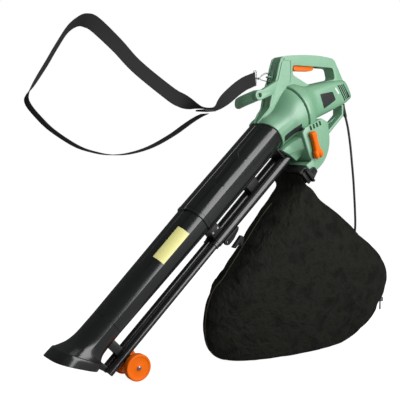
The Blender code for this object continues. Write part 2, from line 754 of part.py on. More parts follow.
def twin_tubes(kit):
    frame = kit.tube
    for side, word in ((-1, "near"), (1, "far")):
        spot = (0, side * TWIN_Y, TWIN_Z)
        upper = turn([
            (TWIN_JOINT, TWIN_LOW_RADIUS + GAP), (TWIN_JOINT, TWIN_RADIUS),
            (TWIN_SOCKET, TWIN_TOP_RADIUS), (TWIN_SOCKET, TWIN_TOP_RADIUS - TWIN_WALL),
            (TWIN_JOINT + 0.024, TWIN_RADIUS - TWIN_WALL),
            (TWIN_JOINT + 0.024, TWIN_LOW_RADIUS + GAP),
        ], 20)
        add(f"upper_blower_tube_{word}", upper, kit.black, frame, spot)
        lower = turn([
            (TWIN_END, TWIN_LOW_RADIUS - TWIN_WALL), (TWIN_END, TWIN_LOW_RADIUS),
            (-0.0085, TWIN_LOW_RADIUS), (-0.0080, 0.0125), (TWIN_JOINT - GAP, 0.0125),
            (TWIN_JOINT - GAP, TWIN_LOW_RADIUS), (TWIN_JOINT + 0.022, TWIN_LOW_RADIUS),
            (TWIN_JOINT + 0.022, TWIN_LOW_RADIUS - TWIN_WALL),
        ], 20)
        add(f"lower_blower_tube_{word}", lower, kit.black, frame, spot)


def saddle(kit, name, start, end, half_y, low, twin_radius, big_z, big_y):
    """A bridge between the suction tube and the twin tubes, grooved to fit both."""
    frame = kit.tube
    bm = block(start, end, -half_y, half_y, low, -0.030)
    piece = add(name, bm, kit.black, frame)
    big = loft([
        tube_section(start - 0.02, big_z + GAP, big_y + GAP),
        tube_section(end + 0.02, big_z + GAP, big_y + GAP),
    ])
    cut(piece, add("big", big, kit.black, frame))
    for side in (-1, 1):
        groove = rod(twin_radius + GAP, start - 0.02, end + 0.02, 20)
        cut(piece, add("groove", groove, kit.black, frame, (0, side * TWIN_Y, TWIN_Z)))
    return piece


def tube_brackets(kit):
    frame = kit.tube
    top_radius = TWIN_TOP_RADIUS
    saddle(kit, "port_bridge", 0.3080, COLLAR_FACE - 0.0006, 0.0300, -0.0780, top_radius,
           UPPER_HALF_Z, UPPER_HALF_Y)
    saddle(kit, "mid_bridge", 0.1800, 0.2240, 0.0150, -0.0860, 0.0155, UPPER_HALF_Z, UPPER_HALF_Y)
    saddle(kit, "joint_bridge", 0.0060, 0.0400, 0.0190, -0.0820, 0.0147, UPPER_HALF_Z, UPPER_HALF_Y)
    lug = rounded([(0.0220, -0.1040), (0.0860, -0.1060), (0.0790, -0.1150), (0.0480, -0.1230),
                   (0.0260, -0.1230), (0.0180, -0.1150)], 0.005, 2)
    hook = add("bag_lug", prism(lug, -0.0215, -0.0130), kit.black, frame)
    groove = rod(0.0150 + GAP, -0.05, 0.15, 20)
    cut(hook, add("groove", groove, kit.black, frame, (0, -TWIN_Y, TWIN_Z)))
    eye = rod(0.0035, -0.04, 0.02, 12, "Y")
    cut(hook, add("eye", eye, kit.black, frame, (0.0300, 0, -0.1145)))


def wheels(kit):
    frame = kit.tube
    half = WHEEL_WIDTH / 2
    profile = [
        (-half, AXLE_RADIUS + GAP), (-half, 0.0075), (-half + 0.0015, 0.0080),
        (-half + 0.0015, 0.0280), (-half, 0.0290), (-half, 0.0325), (-half + 0.0022, WHEEL_RADIUS),
        (half - 0.0022, WHEEL_RADIUS), (half, 0.0325), (half, 0.0290),
        (half - 0.0015, 0.0280), (half - 0.0015, 0.0080), (half, 0.0075), (half, AXLE_RADIUS + GAP),
    ]
    for side, word in ((-1, "near"), (1, "far")):
        wheel = turn(profile, 36, "Y")
        add(f"wheel_{word}", wheel, kit.orange, frame, (WHEEL_S, side * WHEEL_Y, WHEEL_M))
    axle = rod(AXLE_RADIUS, -0.0520, 0.0520, 16, "Y")
    add("wheel_axle", axle, kit.steel, frame, (WHEEL_S, 0, WHEEL_M))
    for side, word in ((-1, "near"), (1, "far")):
        start = side * (WHEEL_Y + half + 0.0006)
        end = side * (WHEEL_Y + half + 0.0024)
        cap = washer(0.0058, AXLE_RADIUS + GAP, min(start, end), max(start, end), 20, "Y")
        add(f"axle_cap_{word}", cap, kit.steel, frame, (WHEEL_S, 0, WHEEL_M))


def front_handle(kit):
    """The side grip in front of the housing: an arm with a boss, and the cross grip screwed to it."""
    boss = Vector((-0.2030, 0.0, -0.1060))
    arm = [(-0.1180, -0.0500), (-0.1270, -0.0900)] + [
        (boss.x + x, boss.z + z) for x, z in arc((0, 0), 0.0148, -75, -255, 6)
    ] + [(-0.1900, -0.0890)]
    plate = soften(prism(arm, -0.0300, -0.0135), 0.002, 1)
    piece = add("front_handle_arm", plate, kit.green)
    keep_off = prism([(-0.1575, -0.1400), (-0.1475, -0.0900), (-0.1335, -0.0520),
                      (-0.1220, 0.0000), (-0.0500, 0.0), (-0.0500, -0.140)], -0.10, 0.10)
    cut(piece, add("keep_off", keep_off, kit.green))
    hole = rod(0.0065, -0.040, -0.0190, 20, "Y")
    cut(piece, add("screw_pocket", hole, kit.green, None, boss))
    hole = rod(0.0025, -0.040, 0.0, 16, "Y")
    cut(piece, add("screw_hole", hole, kit.green, None, boss))
    rings = []
    for i in range(9):
        t = i / 8
        y = -0.0132 + 0.0867 * t
        drop = -0.0195 * t - 0.003 * math.sin(math.pi * t)
        bow = -0.010 * math.sin(math.pi * t)
        thick = 0.0130 + 0.0012 * math.sin(math.pi * t)
        tall = 0.0158 if t < 0.95 else 0.0145
        loop = []
        for k in range(20):
            across, up = oval_point(2 * math.pi * k / 20, 2.6)
            loop.append(Vector((boss.x + bow + thick * across, y, boss.z + drop + tall * up)))
        rings.append(loop)
    grip = add("front_grip", loft(rings), kit.green)
    bore = rod(0.0026, -0.030, 0.022, 12, "Y")
    cut(grip, add("bore", bore, kit.green, None, boss))
    screw = turn([(-0.0220, 0), (-0.0220, 0.0045), (-0.0192, 0.0045), (-0.0192, 0.0022),
                  (0.0120, 0.0022), (0.0120, 0)], 12, "Y")
    add("grip_screw", screw, kit.steel, None, boss)


def strap_hardware(kit):
    base = prism([(-0.1379, -0.0640), (-0.1335, -0.0520), (-0.1287, -0.0300), (-0.1319, -0.0300),
                  (-0.1367, -0.0530), (-0.1410, -0.0640)], 0.0010, 0.0145)
    bracket = add("strap_eyelet", base, kit.green)
    arch = [(-0.1345 - 0.0145 * math.sin(math.pi * i / 10),
             0.0080 + 0.0085 * math.cos(math.pi * i / 10), -0.0500) for i in range(11)]
    join(bracket, add("arch", wire(arch, 0.0022), kit.green))
    hook = [(-0.1800, 0.0080, -0.0560), (-0.1740, 0.0080, -0.0540), (-0.1660, 0.0080, -0.0460),
            (-0.1540, 0.0080, -0.0400), (-0.1455, 0.0080, -0.0400), (-0.1400, 0.0080, -0.0440),
            (-0.1387, 0.0080, -0.0500), (-0.1400, 0.0080, -0.0560), (-0.1425, 0.0080, -0.0590)]
    body = add("snap_hook", wire(smooth_path(hook, 0.004), 0.0016), kit.steel)
    eye = [(-0.1857 + 0.0047 * math.cos(a), 0.0080 + 0.0047 * math.sin(a), -0.0560)
           for a in [math.pi * 2 * i / 14 for i in range(14)]]
    join(body, add("hook_eye", wire(eye, 0.0014, 6, True), kit.steel))
    barrel = rod(0.0027, -0.1822, -0.1765, 12)
    join(body, add("barrel", barrel, kit.steel, None, (0, 0.0080, -0.0560)))
    gate = wire([(-0.1735, 0.0080, -0.0580), (-0.1600, 0.0080, -0.0608), (-0.1470, 0.0080, -0.0620)],
                0.0012)
    bmesh.ops.translate(gate, verts=gate.verts, vec=(0.1735, -0.0080, 0.0580))
    add("snap_gate", gate, kit.steel, None, (-0.1735, 0.0080, -0.0580))
    corners = rounded([(-0.1865, -0.0350), (-0.1865, -0.0770), (-0.1962, -0.0770), (-0.1962, -0.0350)],
                      0.004, 2)
    loop = wire([(x, 0.0080, z) for x, z in corners], 0.0014, 8, True)
    add("strap_end_loop", loop, kit.steel)


# The webbing's middle line from the end loop round the shoulder loop, and its turn about that
# line: 0 shows its face from the near side, 90 shows its edge
STRAP_ROUTE = [
    (-0.1975, 0.005, -0.0575, 0), (-0.2160, 0.005, -0.0700, 0), (-0.236, 0.004, -0.0850, 0),
    (-0.273, 0.002, -0.109, 5), (-0.308, 0.000, -0.1310, 15), (-0.333, -0.001, -0.1425, 50),
    (-0.352, -0.002, -0.1468, 86), (-0.384, -0.002, -0.1472, 88), (-0.408, -0.002, -0.1430, 65),
    (-0.440, -0.002, -0.1310, 25), (-0.476, -0.002, -0.1150, 6), (-0.574, -0.003, -0.053, 0),
    (-0.631, 0.000, -0.002, 5), (-0.687, 0.003, 0.042, 18), (-0.711, 0.003, 0.050, 35),
    (-0.732, 0.003, 0.046, 55), (-0.760, 0.002, 0.024, 62), (-0.790, 0.000, -0.020, 62),
    (-0.814, 0.000, -0.060, 62), (-0.844, 0.000, -0.107, 66), (-0.8620, 0.000, -0.136, 80),
    (-0.8610, 0.000, -0.156, 88), (-0.838, 0.000, -0.184, 90), (-0.800, 0.002, -0.217, 90),
    (-0.738, 0.004, -0.253, 90), (-0.688, 0.006, -0.268, 90), (-0.643, 0.006, -0.274, 90),
    (-0.592, 0.004, -0.270, 90), (-0.533, 0.002, -0.253, 90), (-0.471, 0.000, -0.222, 90),
    (-0.420, -0.002, -0.1890, 90), (-0.3900, -0.002, -0.1720, 90), (-0.3680, -0.002, -0.1625, 90),
]


def strap(kit):
    path = smooth_path([p[:3] for p in STRAP_ROUTE], 0.020)
    keys = [Vector(p[:3]) for p in STRAP_ROUTE]
    lengths = [0.0]
    for a, b in zip(keys, keys[1:]):
        lengths.append(lengths[-1] + (b - a).length)
    rings = []
    ahead = tangents(path)
    for i, spot in enumerate(path):
        goal = lengths[-1] * i / (len(path) - 1)
        j = max(k for k in range(len(lengths)) if lengths[k] <= goal + 1e-9)
        j = min(j, len(lengths) - 2)
        t = (goal - lengths[j]) / (lengths[j + 1] - lengths[j])
        twist = math.radians(STRAP_ROUTE[j][3] * (1 - t) + STRAP_ROUTE[j + 1][3] * t)
        forward = ahead[i]
        inward = Vector((-forward.z, 0, forward.x)).normalized()
        wide = inward * math.cos(twist) + Vector((0, 1, 0)) * math.sin(twist)
        wide = (wide - forward * wide.dot(forward)).normalized()
        thin = forward.cross(wide)
        w = wide * STRAP_WIDTH / 2
        h = thin * STRAP_THICK / 2
        rings.append([spot - w - h, spot + w - h, spot + w + h, spot - w + h])
    add("strap_webbing", loft(rings), kit.webbing)
    plate = round_block(-0.3840, -0.3460, -0.0250, 0.0210, -0.1560, -0.1516, 0.0012)
    slider = add("strap_slider", plate, kit.black)
    for middle in (-0.3740, -0.3560):
        slot = block(middle - 0.0045, middle + 0.0045, -0.0220, 0.0180, -0.170, -0.140)
        cut(slider, add("slot", slot, kit.black))


def bag_ring(left, right, half_y, middle_y):
    """A level of the bag: (x, z) of its left and right ends, and half its thickness."""
    return ring(right, left, half_y, 2.2, 24, middle_y)


BAG_LEVELS = [
    ((-0.0940, -0.3210), (-0.0612, -0.3553), 0.0720, 0.000),
    ((-0.1240, -0.3580), (-0.0330, -0.3720), 0.0770, -0.002),
    ((-0.1870, -0.4430), (0.0270, -0.3960), 0.0840, -0.006),
    ((-0.2330, -0.5080), (0.1050, -0.4430), 0.0900, BAG_Y),
    ((-0.2700, -0.5510), (0.1930, -0.5020), 0.0940, BAG_Y),
    ((-0.3110, -0.5980), (0.2680, -0.5540), 0.0950, BAG_Y),
    ((-0.3450, -0.6400), (0.3160, -0.6030), 0.0930, BAG_Y),
    ((-0.3630, -0.6820), (0.3370, -0.6490), 0.0890, BAG_Y),
    ((-0.3690, -0.7240), (0.3280, -0.6920), 0.0830, BAG_Y),
    ((-0.3680, -0.7600), (0.3020, -0.7390), 0.0740, BAG_Y),
    ((-0.3560, -0.7950), (0.2600, -0.7770), 0.0600, BAG_Y),
    ((-0.3220, -0.8230), (0.2020, -0.8070), 0.0420, BAG_Y),
    ((-0.2650, -0.8390), (0.1300, -0.8300), 0.0200, BAG_Y),
]


def bag(kit):
    rings = [bag_ring(*level) for level in BAG_LEVELS]
    add("bag", loft(rings), kit.fabric)
    frame = kit.tube
    face = PORT_FACE - 0.0004
    low = 0.3132
    wall = 0.0040
    outer = [ring((s, MOUTH_TOP + 0.001), (s, MOUTH_BOTTOM - 0.001), MOUTH_HALF, 5.0) for s in (low, face)]
    inner = [ring((s, MOUTH_TOP - wall), (s, MOUTH_BOTTOM + wall), MOUTH_HALF - wall - 0.001, 5.0)
             for s in (low, face)]
    rim = add("bag_frame", pipe(outer, inner), kit.black, frame)
    seat = block(0.3136, 0.3345, -0.0790, -0.0720, -0.1660, -0.1280)
    join(rim, add("latch_seat", seat, kit.black, frame))
    pivot = (0.3290, -0.0848, 0.0)
    for low_end, high_end in ((-0.1695, -0.1644), (-0.1296, -0.1245)):
        ear = block(0.3255, 0.3325, -0.0880, -0.0740, low_end, high_end)
        join(rim, add("ear", ear, kit.black, frame))
    pin = rod(0.0011 + GAP, -0.1690, -0.1250, 12, "Z")
    cut(rim, add("pin_bore", pin, kit.black, frame, pivot))
    latch = rounded([(0.3255, -0.1640), (0.3560, -0.1560), (0.3560, -0.1380), (0.3255, -0.1300)],
                    0.003, 2)
    bm = prism([(x - pivot[0], z) for x, z in latch], -0.0030, 0.0030)
    latch = add("bag_latch", bm, kit.black, frame, pivot)
    pin = rod(0.0011 + GAP, -0.1800, -0.1100, 12, "Z")
    cut(latch, add("pin_bore", pin, kit.black, frame, pivot))
    add("latch_pin", rod(0.0011, -0.1688, -0.1252, 12, "Z"), kit.steel, frame, pivot)
    clip = rounded([(0.0300, -0.1370), (0.0740, -0.1330), (0.0760, -0.1450), (0.0600, -0.1565),
                    (0.0520, -0.1565), (0.0560, -0.1450), (0.0340, -0.1450)], 0.003, 2)
    add("bag_clip", soften(prism(clip, -0.0230, -0.0110), 0.0015, 1), kit.black, frame)
    tab = rounded([(-0.0030, -0.0240), (0.0030, -0.0240), (0.0026, -0.0020), (0.0, 0.0022),
                   (-0.0026, -0.0020)], 0.002, 2)
    add("zip_pull", prism(tab, -0.0010, 0.0010), kit.steel, None, (0.3100, -0.0190, -0.7450))
    slider = round_block(0.3050, 0.3150, -0.0240, -0.0140, -0.7424, -0.7290, 0.0015)
    add("zip_slider", slider, kit.steel)


CORD_ROUTE = [
    (0.1533, 0.0, -0.1459), (0.1600, 0.0005, -0.1610), (0.1700, 0.001, -0.1900),
    (0.1820, 0.002, -0.2400), (0.1930, 0.004, -0.2960), (0.2050, 0.008, -0.3500),
    (0.2150, 0.013, -0.3950), (0.2250, 0.018, -0.4450), (0.2340, 0.024, -0.5000),
    (0.2400, 0.036, -0.5450), (0.2430, 0.058, -0.5900), (0.2430, 0.080, -0.6350),
    (0.2420, 0.092, -0.6700), (0.2415, 0.094, -0.6880),
]


def lead(kit):
    sleeve = turn([
        (0.0180, CORD_RADIUS + GAP), (0.0180, 0.0058), (-0.0010, 0.0058), (-0.0012, 0.0080),
        (-0.0060, 0.0080), (-0.0062, 0.0058), (-0.0340, 0.0046), (-0.0340, CORD_RADIUS + GAP),
    ], 16, "Z")
    add("strain_relief", sleeve, kit.rubber, None, CORD_EXIT, CORD_LEAN)
    path = smooth_path(CORD_ROUTE, 0.016)
    curve = bpy.data.curves.new("power_cord", "CURVE")
    curve.dimensions = "3D"
    line = curve.splines.new("POLY")
    line.points.add(len(path) - 1)
    for point, spot in zip(line.points, path):
        point.co = (*spot, 1.0)
    curve.bevel_depth = CORD_RADIUS
    curve.bevel_resolution = 2
    curve.use_fill_caps = True
    curve.materials.append(kit.rubber)
    cord = bpy.data.objects.new("power_cord", curve)
    bpy.context.collection.objects.link(cord)
    end = path[-1]
    plug = turn([
        (-0.0003, 0), (-0.0003, 0.0060), (-0.0160, 0.0080), (-0.0180, 0.0150), (-0.0380, 0.0185),
        (-0.0500, 0.0185), (-0.0500, 0),
    ], 20, "Z")
    hang = (path[-2] - end).to_track_quat("Z", "Y").to_euler()
    body = add("plug_body", plug, kit.rubber, None, end, hang)
    for side, word in ((-1, "near"), (1, "far")):
        spot = end + hang.to_matrix() @ Vector((0, side * 0.0095, 0))
        add(f"plug_pin_{word}", rod(0.0024, -0.0690, -0.0460, 12, "Z"), kit.steel, None, spot, hang)
        hole = rod(0.0024 + GAP, -0.0700, -0.0456, 12, "Z")
        cut(body, add("pin_hole", hole, kit.rubber, None, spot, hang))


def main():
    clear_scene()
    kit = Kit()
    housing(kit)
    motor_pieces(kit)
    trigger(kit)
    diverter(kit)
    suction_tubes(kit)
    nozzle(kit)
    twin_tubes(kit)
    tube_brackets(kit)
    wheels(kit)
    front_handle(kit)
    strap_hardware(kit)
    strap(kit)
    bag(kit)
    lead(kit)


main()
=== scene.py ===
"""Dressed scene of a garden blower vacuum with its bag, shoulder strap and short lead."""

from __future__ import annotations

import logging
import math
from dataclasses import dataclass, field
from enum import Enum
from typing import Callable, Sequence

import bmesh
import bpy
from mathutils import Matrix, Vector, noise
from mathutils.bvhtree import BVHTree


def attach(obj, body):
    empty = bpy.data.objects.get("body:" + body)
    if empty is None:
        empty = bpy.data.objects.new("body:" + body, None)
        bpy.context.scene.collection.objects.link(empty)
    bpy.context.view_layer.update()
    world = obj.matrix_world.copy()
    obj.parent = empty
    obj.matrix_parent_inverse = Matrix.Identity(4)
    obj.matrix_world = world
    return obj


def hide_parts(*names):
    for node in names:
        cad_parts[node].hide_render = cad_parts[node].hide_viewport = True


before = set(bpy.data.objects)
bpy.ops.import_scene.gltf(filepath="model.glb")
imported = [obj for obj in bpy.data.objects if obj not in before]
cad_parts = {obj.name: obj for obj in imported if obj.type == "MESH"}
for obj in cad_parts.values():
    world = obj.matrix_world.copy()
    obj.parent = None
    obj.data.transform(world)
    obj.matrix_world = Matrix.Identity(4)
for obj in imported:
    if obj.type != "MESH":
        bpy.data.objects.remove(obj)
for extra in ("Cube", "Light", "Camera"):
    if extra in bpy.data.objects:
        bpy.data.objects.remove(bpy.data.objects[extra], do_unlink=True)
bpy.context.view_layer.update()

log = logging.getLogger("blower")

Pair = tuple[float, float]
Triple = tuple[float, float, float]
Ring = list[Vector]
Socket = bpy.types.NodeSocket

# Half the gap at the middle seam, half the width of the handle and of the duct, and the
# twin blower tubes' place across the machine and up from the suction tube's axis, in metres.
SEAM = 0.00025
GRIP_HALF = 0.0205
DUCT_HALF = 0.08
TWIN_SPREAD = 0.0172
TWIN_DROP = -0.09
ACROSS = Vector((0, 1, 0))

# Points nearer to each other than this, in metres, are one point.
TOUCH = 1e-7

# One side of the suction tube's cross-section, across and up as parts of its half sizes.
FACETS: tuple[Pair, ...] = (
    (0.0, 1.0), (0.22, 0.997), (0.42, 0.965), (0.6, 0.885), (0.75, 0.765), (0.87, 0.61),
    (0.955, 0.44), (1.0, 0.285), (0.986, -0.03), (0.946, -0.2), (0.89, -0.4), (0.81, -0.585),
    (0.7, -0.745), (0.56, -0.875), (0.38, -0.965), (0.18, -0.997), (0.0, -1.0))


class Side(Enum):
    """The near side of the machine faces the camera, at -Y."""

    NEAR = -1
    FAR = 1

    def word(self) -> str:
        """Return the side's word in names."""
        return self.name.lower()


class Body(Enum):
    """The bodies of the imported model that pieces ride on."""

    MACHINE = "machine"
    TRIGGER = "trigger_lever"
    SELECTOR = "selector"
    NEAR_WHEEL = "near_wheel"
    FAR_WHEEL = "far_wheel"
    GATE = "hook_gate"
    LATCH = "latch"
    ZIP = "zip_tab"


@dataclass(frozen=True)
class Slant:
    """A working frame tilted about Y: along its own axis, across the machine, and up from it."""

    origin: Triple
    tilt: float

    def at(self, along: float, across: float, up: float) -> Vector:
        """Return a point of this frame in the machine's frame.

        Args:
            along: Distance along the tilted axis, in metres.
            across: Distance towards the far side, in metres.
            up: Distance square to both, in metres.

        Returns:
            The point in the machine's frame.
        """
        c, s = math.cos(self.tilt), math.sin(self.tilt)
        x, y, z = self.origin
        return Vector((x + along * c - up * s, y + across, z + along * s + up * c))

    def flat(self, along: float, up: float) -> Pair:
        """Return a point of the middle plane as x and z."""
        spot = self.at(along, 0.0, up)
        return spot.x, spot.z

    def axis(self) -> Vector:
        """Return the direction of the tilted axis."""
        return self.at(1, 0, 0) - self.at(0, 0, 0)


TUBE = Slant((-0.4, 0.0, -0.45), math.radians(43.7))
MOTOR = Slant((-0.076, 0.0, -0.149), math.radians(22.7))
LEVEL = Slant((0.0, 0.0, 0.0), 0.0)


@dataclass(frozen=True)
class Station:
    """One cross-section of a lofted form: its top and bottom points, half width and squareness."""

    top: Pair
    bottom: Pair
    half: float
    power: float = 2.0
    slant: Slant = LEVEL

    def numbers(self) -> list[float]:
        """Return the section as plain numbers in the machine's frame, for smoothing."""
        return [*self.slant.flat(*self.top), *self.slant.flat(*self.bottom), self.half, self.power]


def bulge(value: float, power: float) -> float:
    """Return a number's size raised to a power, with its own sign."""
    return math.copysign(abs(value) ** power, value)


def turns(count: int, start: float = 0.0) -> list[Pair]:
    """Return the cosine and sine of even turns round a circle, the first one start steps on."""
    angles = [2 * math.pi * (i + start) / count for i in range(count)]
    return [(math.cos(a), math.sin(a)) for a in angles]


def section(numbers: Sequence[float], sides: int) -> Ring:
    """Return the ring of points of one cross-section.

    Args:
        numbers: Top x and z, bottom x and z, half width and squareness.
        sides: Number of points.

    Returns:
        The points, starting at the far side and going up.
    """
    tx, tz, bx, bz, half, power = numbers
    points = []
    for c, s in turns(sides, 0.5):
        rise = bulge(s, 2 / power)
        points.append(Vector(((tx + bx) / 2 + (tx - bx) / 2 * rise, half * bulge(c, 2 / power),
                              (tz + bz) / 2 + (tz - bz) / 2 * rise)))
    return points


def smooth_numbers(rows: Sequence[Sequence[float]], steps: int) -> list[list[float]]:
    """Fill in rows of numbers with a smooth curve through them.

    Args:
        rows: The rows to pass through.
        steps: How many parts each gap is cut into.

    Returns:
        The filled-in rows, first and last included.
    """
    filled = []
    last = len(rows) - 1
    for i in range(last):
        p0, p1, p2, p3 = rows[max(i - 1, 0)], rows[i], rows[i + 1], rows[min(i + 2, last)]
        for k in range(steps):
            t = k / steps
            filled.append([
                0.5 * (2 * b + (c - a) * t + (2 * a - 5 * b + 4 * c - d) * t * t
                       + (3 * b - a - 3 * c + d) * t ** 3)
                for a, b, c, d in zip(p0, p1, p2, p3)
            ])
    filled.append(list(rows[-1]))
    return filled


def even_path(points: Sequence[Sequence[float]], spacing: float) -> list[list[float]]:
    """Return samples at even distances of the smooth curve through rows of numbers.

    Args:
        points: Rows whose first three numbers are a place. Others are carried along.
        spacing: The wanted distance between samples.

    Returns:
        The samples.
    """
    parts = 24
    fine = smooth_numbers(points, parts)
    gone = [0.0]
    for a, b in zip(fine, fine[1:]):
        gone.append(gone[-1] + math.dist(a[:3], b[:3]))
    count = max(2, round(gone[-1] / spacing))
    samples = []
    j = 0
    for i in range(count + 1):
        goal = gone[-1] * i / count
        while j < len(fine) - 2 and gone[j + 1] < goal:
            j += 1
        t = (goal - gone[j]) / (gone[j + 1] - gone[j])
        samples.append([a + (b - a) * t for a, b in zip(fine[j], fine[j + 1])])
    return samples


def rounded(outline: Sequence[Pair], radius: float, steps: int = 4) -> list[Pair]:
    """Return an outline with its corners rounded.

    Args:
        outline: The corners.
        radius: How far from each corner the rounding starts.
        steps: Parts of each rounded corner.

    Returns:
        The rounded outline.
    """
    # The rounding takes at most this share of the side that it stands on.
    share = 0.48
    points = []
    for i, corner in enumerate(outline):
        here = Vector(corner)
        start, end = [
            here + way.normalized() * min(radius, way.length * share)
            for way in (Vector(outline[i - 1]) - here,
                        Vector(outline[(i + 1) % len(outline)]) - here)]
        for k in range(steps + 1):
            t = k / steps
            spot = start * (1 - t) ** 2 + here * 2 * t * (1 - t) + end * t * t
            points.append((spot.x, spot.y))
    return points


def arc(centre: Pair, radius: float, start: float, end: float, steps: int) -> list[Pair]:
    """Return points on an arc, its angles in degrees."""
    angles = [math.radians(start + (end - start) * i / steps) for i in range(steps + 1)]
    return [(centre[0] + radius * math.cos(a), centre[1] + radius * math.sin(a)) for a in angles]


def box_outline(x0: float, x1: float, z0: float, z1: float) -> list[Pair]:
    """Return the corners of a rectangle between two places along and two up."""
    return [(x0, z0), (x1, z0), (x1, z1), (x0, z1)]


def both_sides(side: Sequence[Pair]) -> list[Pair]:
    """Return the whole outline of a section from one side's points, top to bottom."""
    return [*side[::-1], *((-y, m) for y, m in side[1:-1])]


def creased_half() -> list[tuple[float, float, float]]:
    """Return one side of the tube's section, finely, as across, up and the matching angle."""
    above = [90 - 66 * i / 7 for i in range(8)]
    below = [8 - 12.25 * i for i in range(9)]
    rows = [[y, m, turn] for (y, m), turn in zip(FACETS, above + below)]
    fine = smooth_numbers(rows[:8], 4) + smooth_numbers(rows[7:9], 4)[1:]
    return [tuple(r) for r in fine + smooth_numbers(rows[8:], 4)[1:]]


def creased_ring(row: Sequence[float]) -> Ring:
    """Return a ring between the tube's creased section and a plain oval.

    Args:
        row: Top x and z, bottom x and z, half width, and how far it goes over to the oval.

    Returns:
        The points, from the bottom up the far side.
    """
    tx, tz, bx, bz, half, plain = row
    side = []
    for across, up, turn in creased_half():
        angle = math.radians(turn)
        side.append((across * (1 - plain) + math.cos(angle) * plain,
                     up * (1 - plain) + math.sin(angle) * plain))
    return [Vector(((tx + bx) / 2 + (tx - bx) / 2 * up, half * across,
                    (tz + bz) / 2 + (tz - bz) / 2 * up))
            for across, up in both_sides(side)]


def placed(name: str, data: bpy.types.ID) -> bpy.types.Object:
    """Put a new object into the scene and return it."""
    made = bpy.data.objects.new(name, data)
    bpy.context.collection.objects.link(made)
    return made


def bake(piece: bpy.types.Object, step: bpy.types.Modifier) -> None:
    """Make a modifier's result the piece's own mesh."""
    view = bpy.context.evaluated_depsgraph_get()
    mesh = bpy.data.meshes.new_from_object(piece.evaluated_get(view))
    piece.modifiers.remove(step)
    old = piece.data
    piece.data = mesh
    bpy.data.meshes.remove(old)
    mesh.name = piece.name


def discard(piece: bpy.types.Object) -> None:
    """Remove a working object and its mesh."""
    mesh = piece.data
    bpy.data.objects.remove(piece, do_unlink=True)
    bpy.data.meshes.remove(mesh)


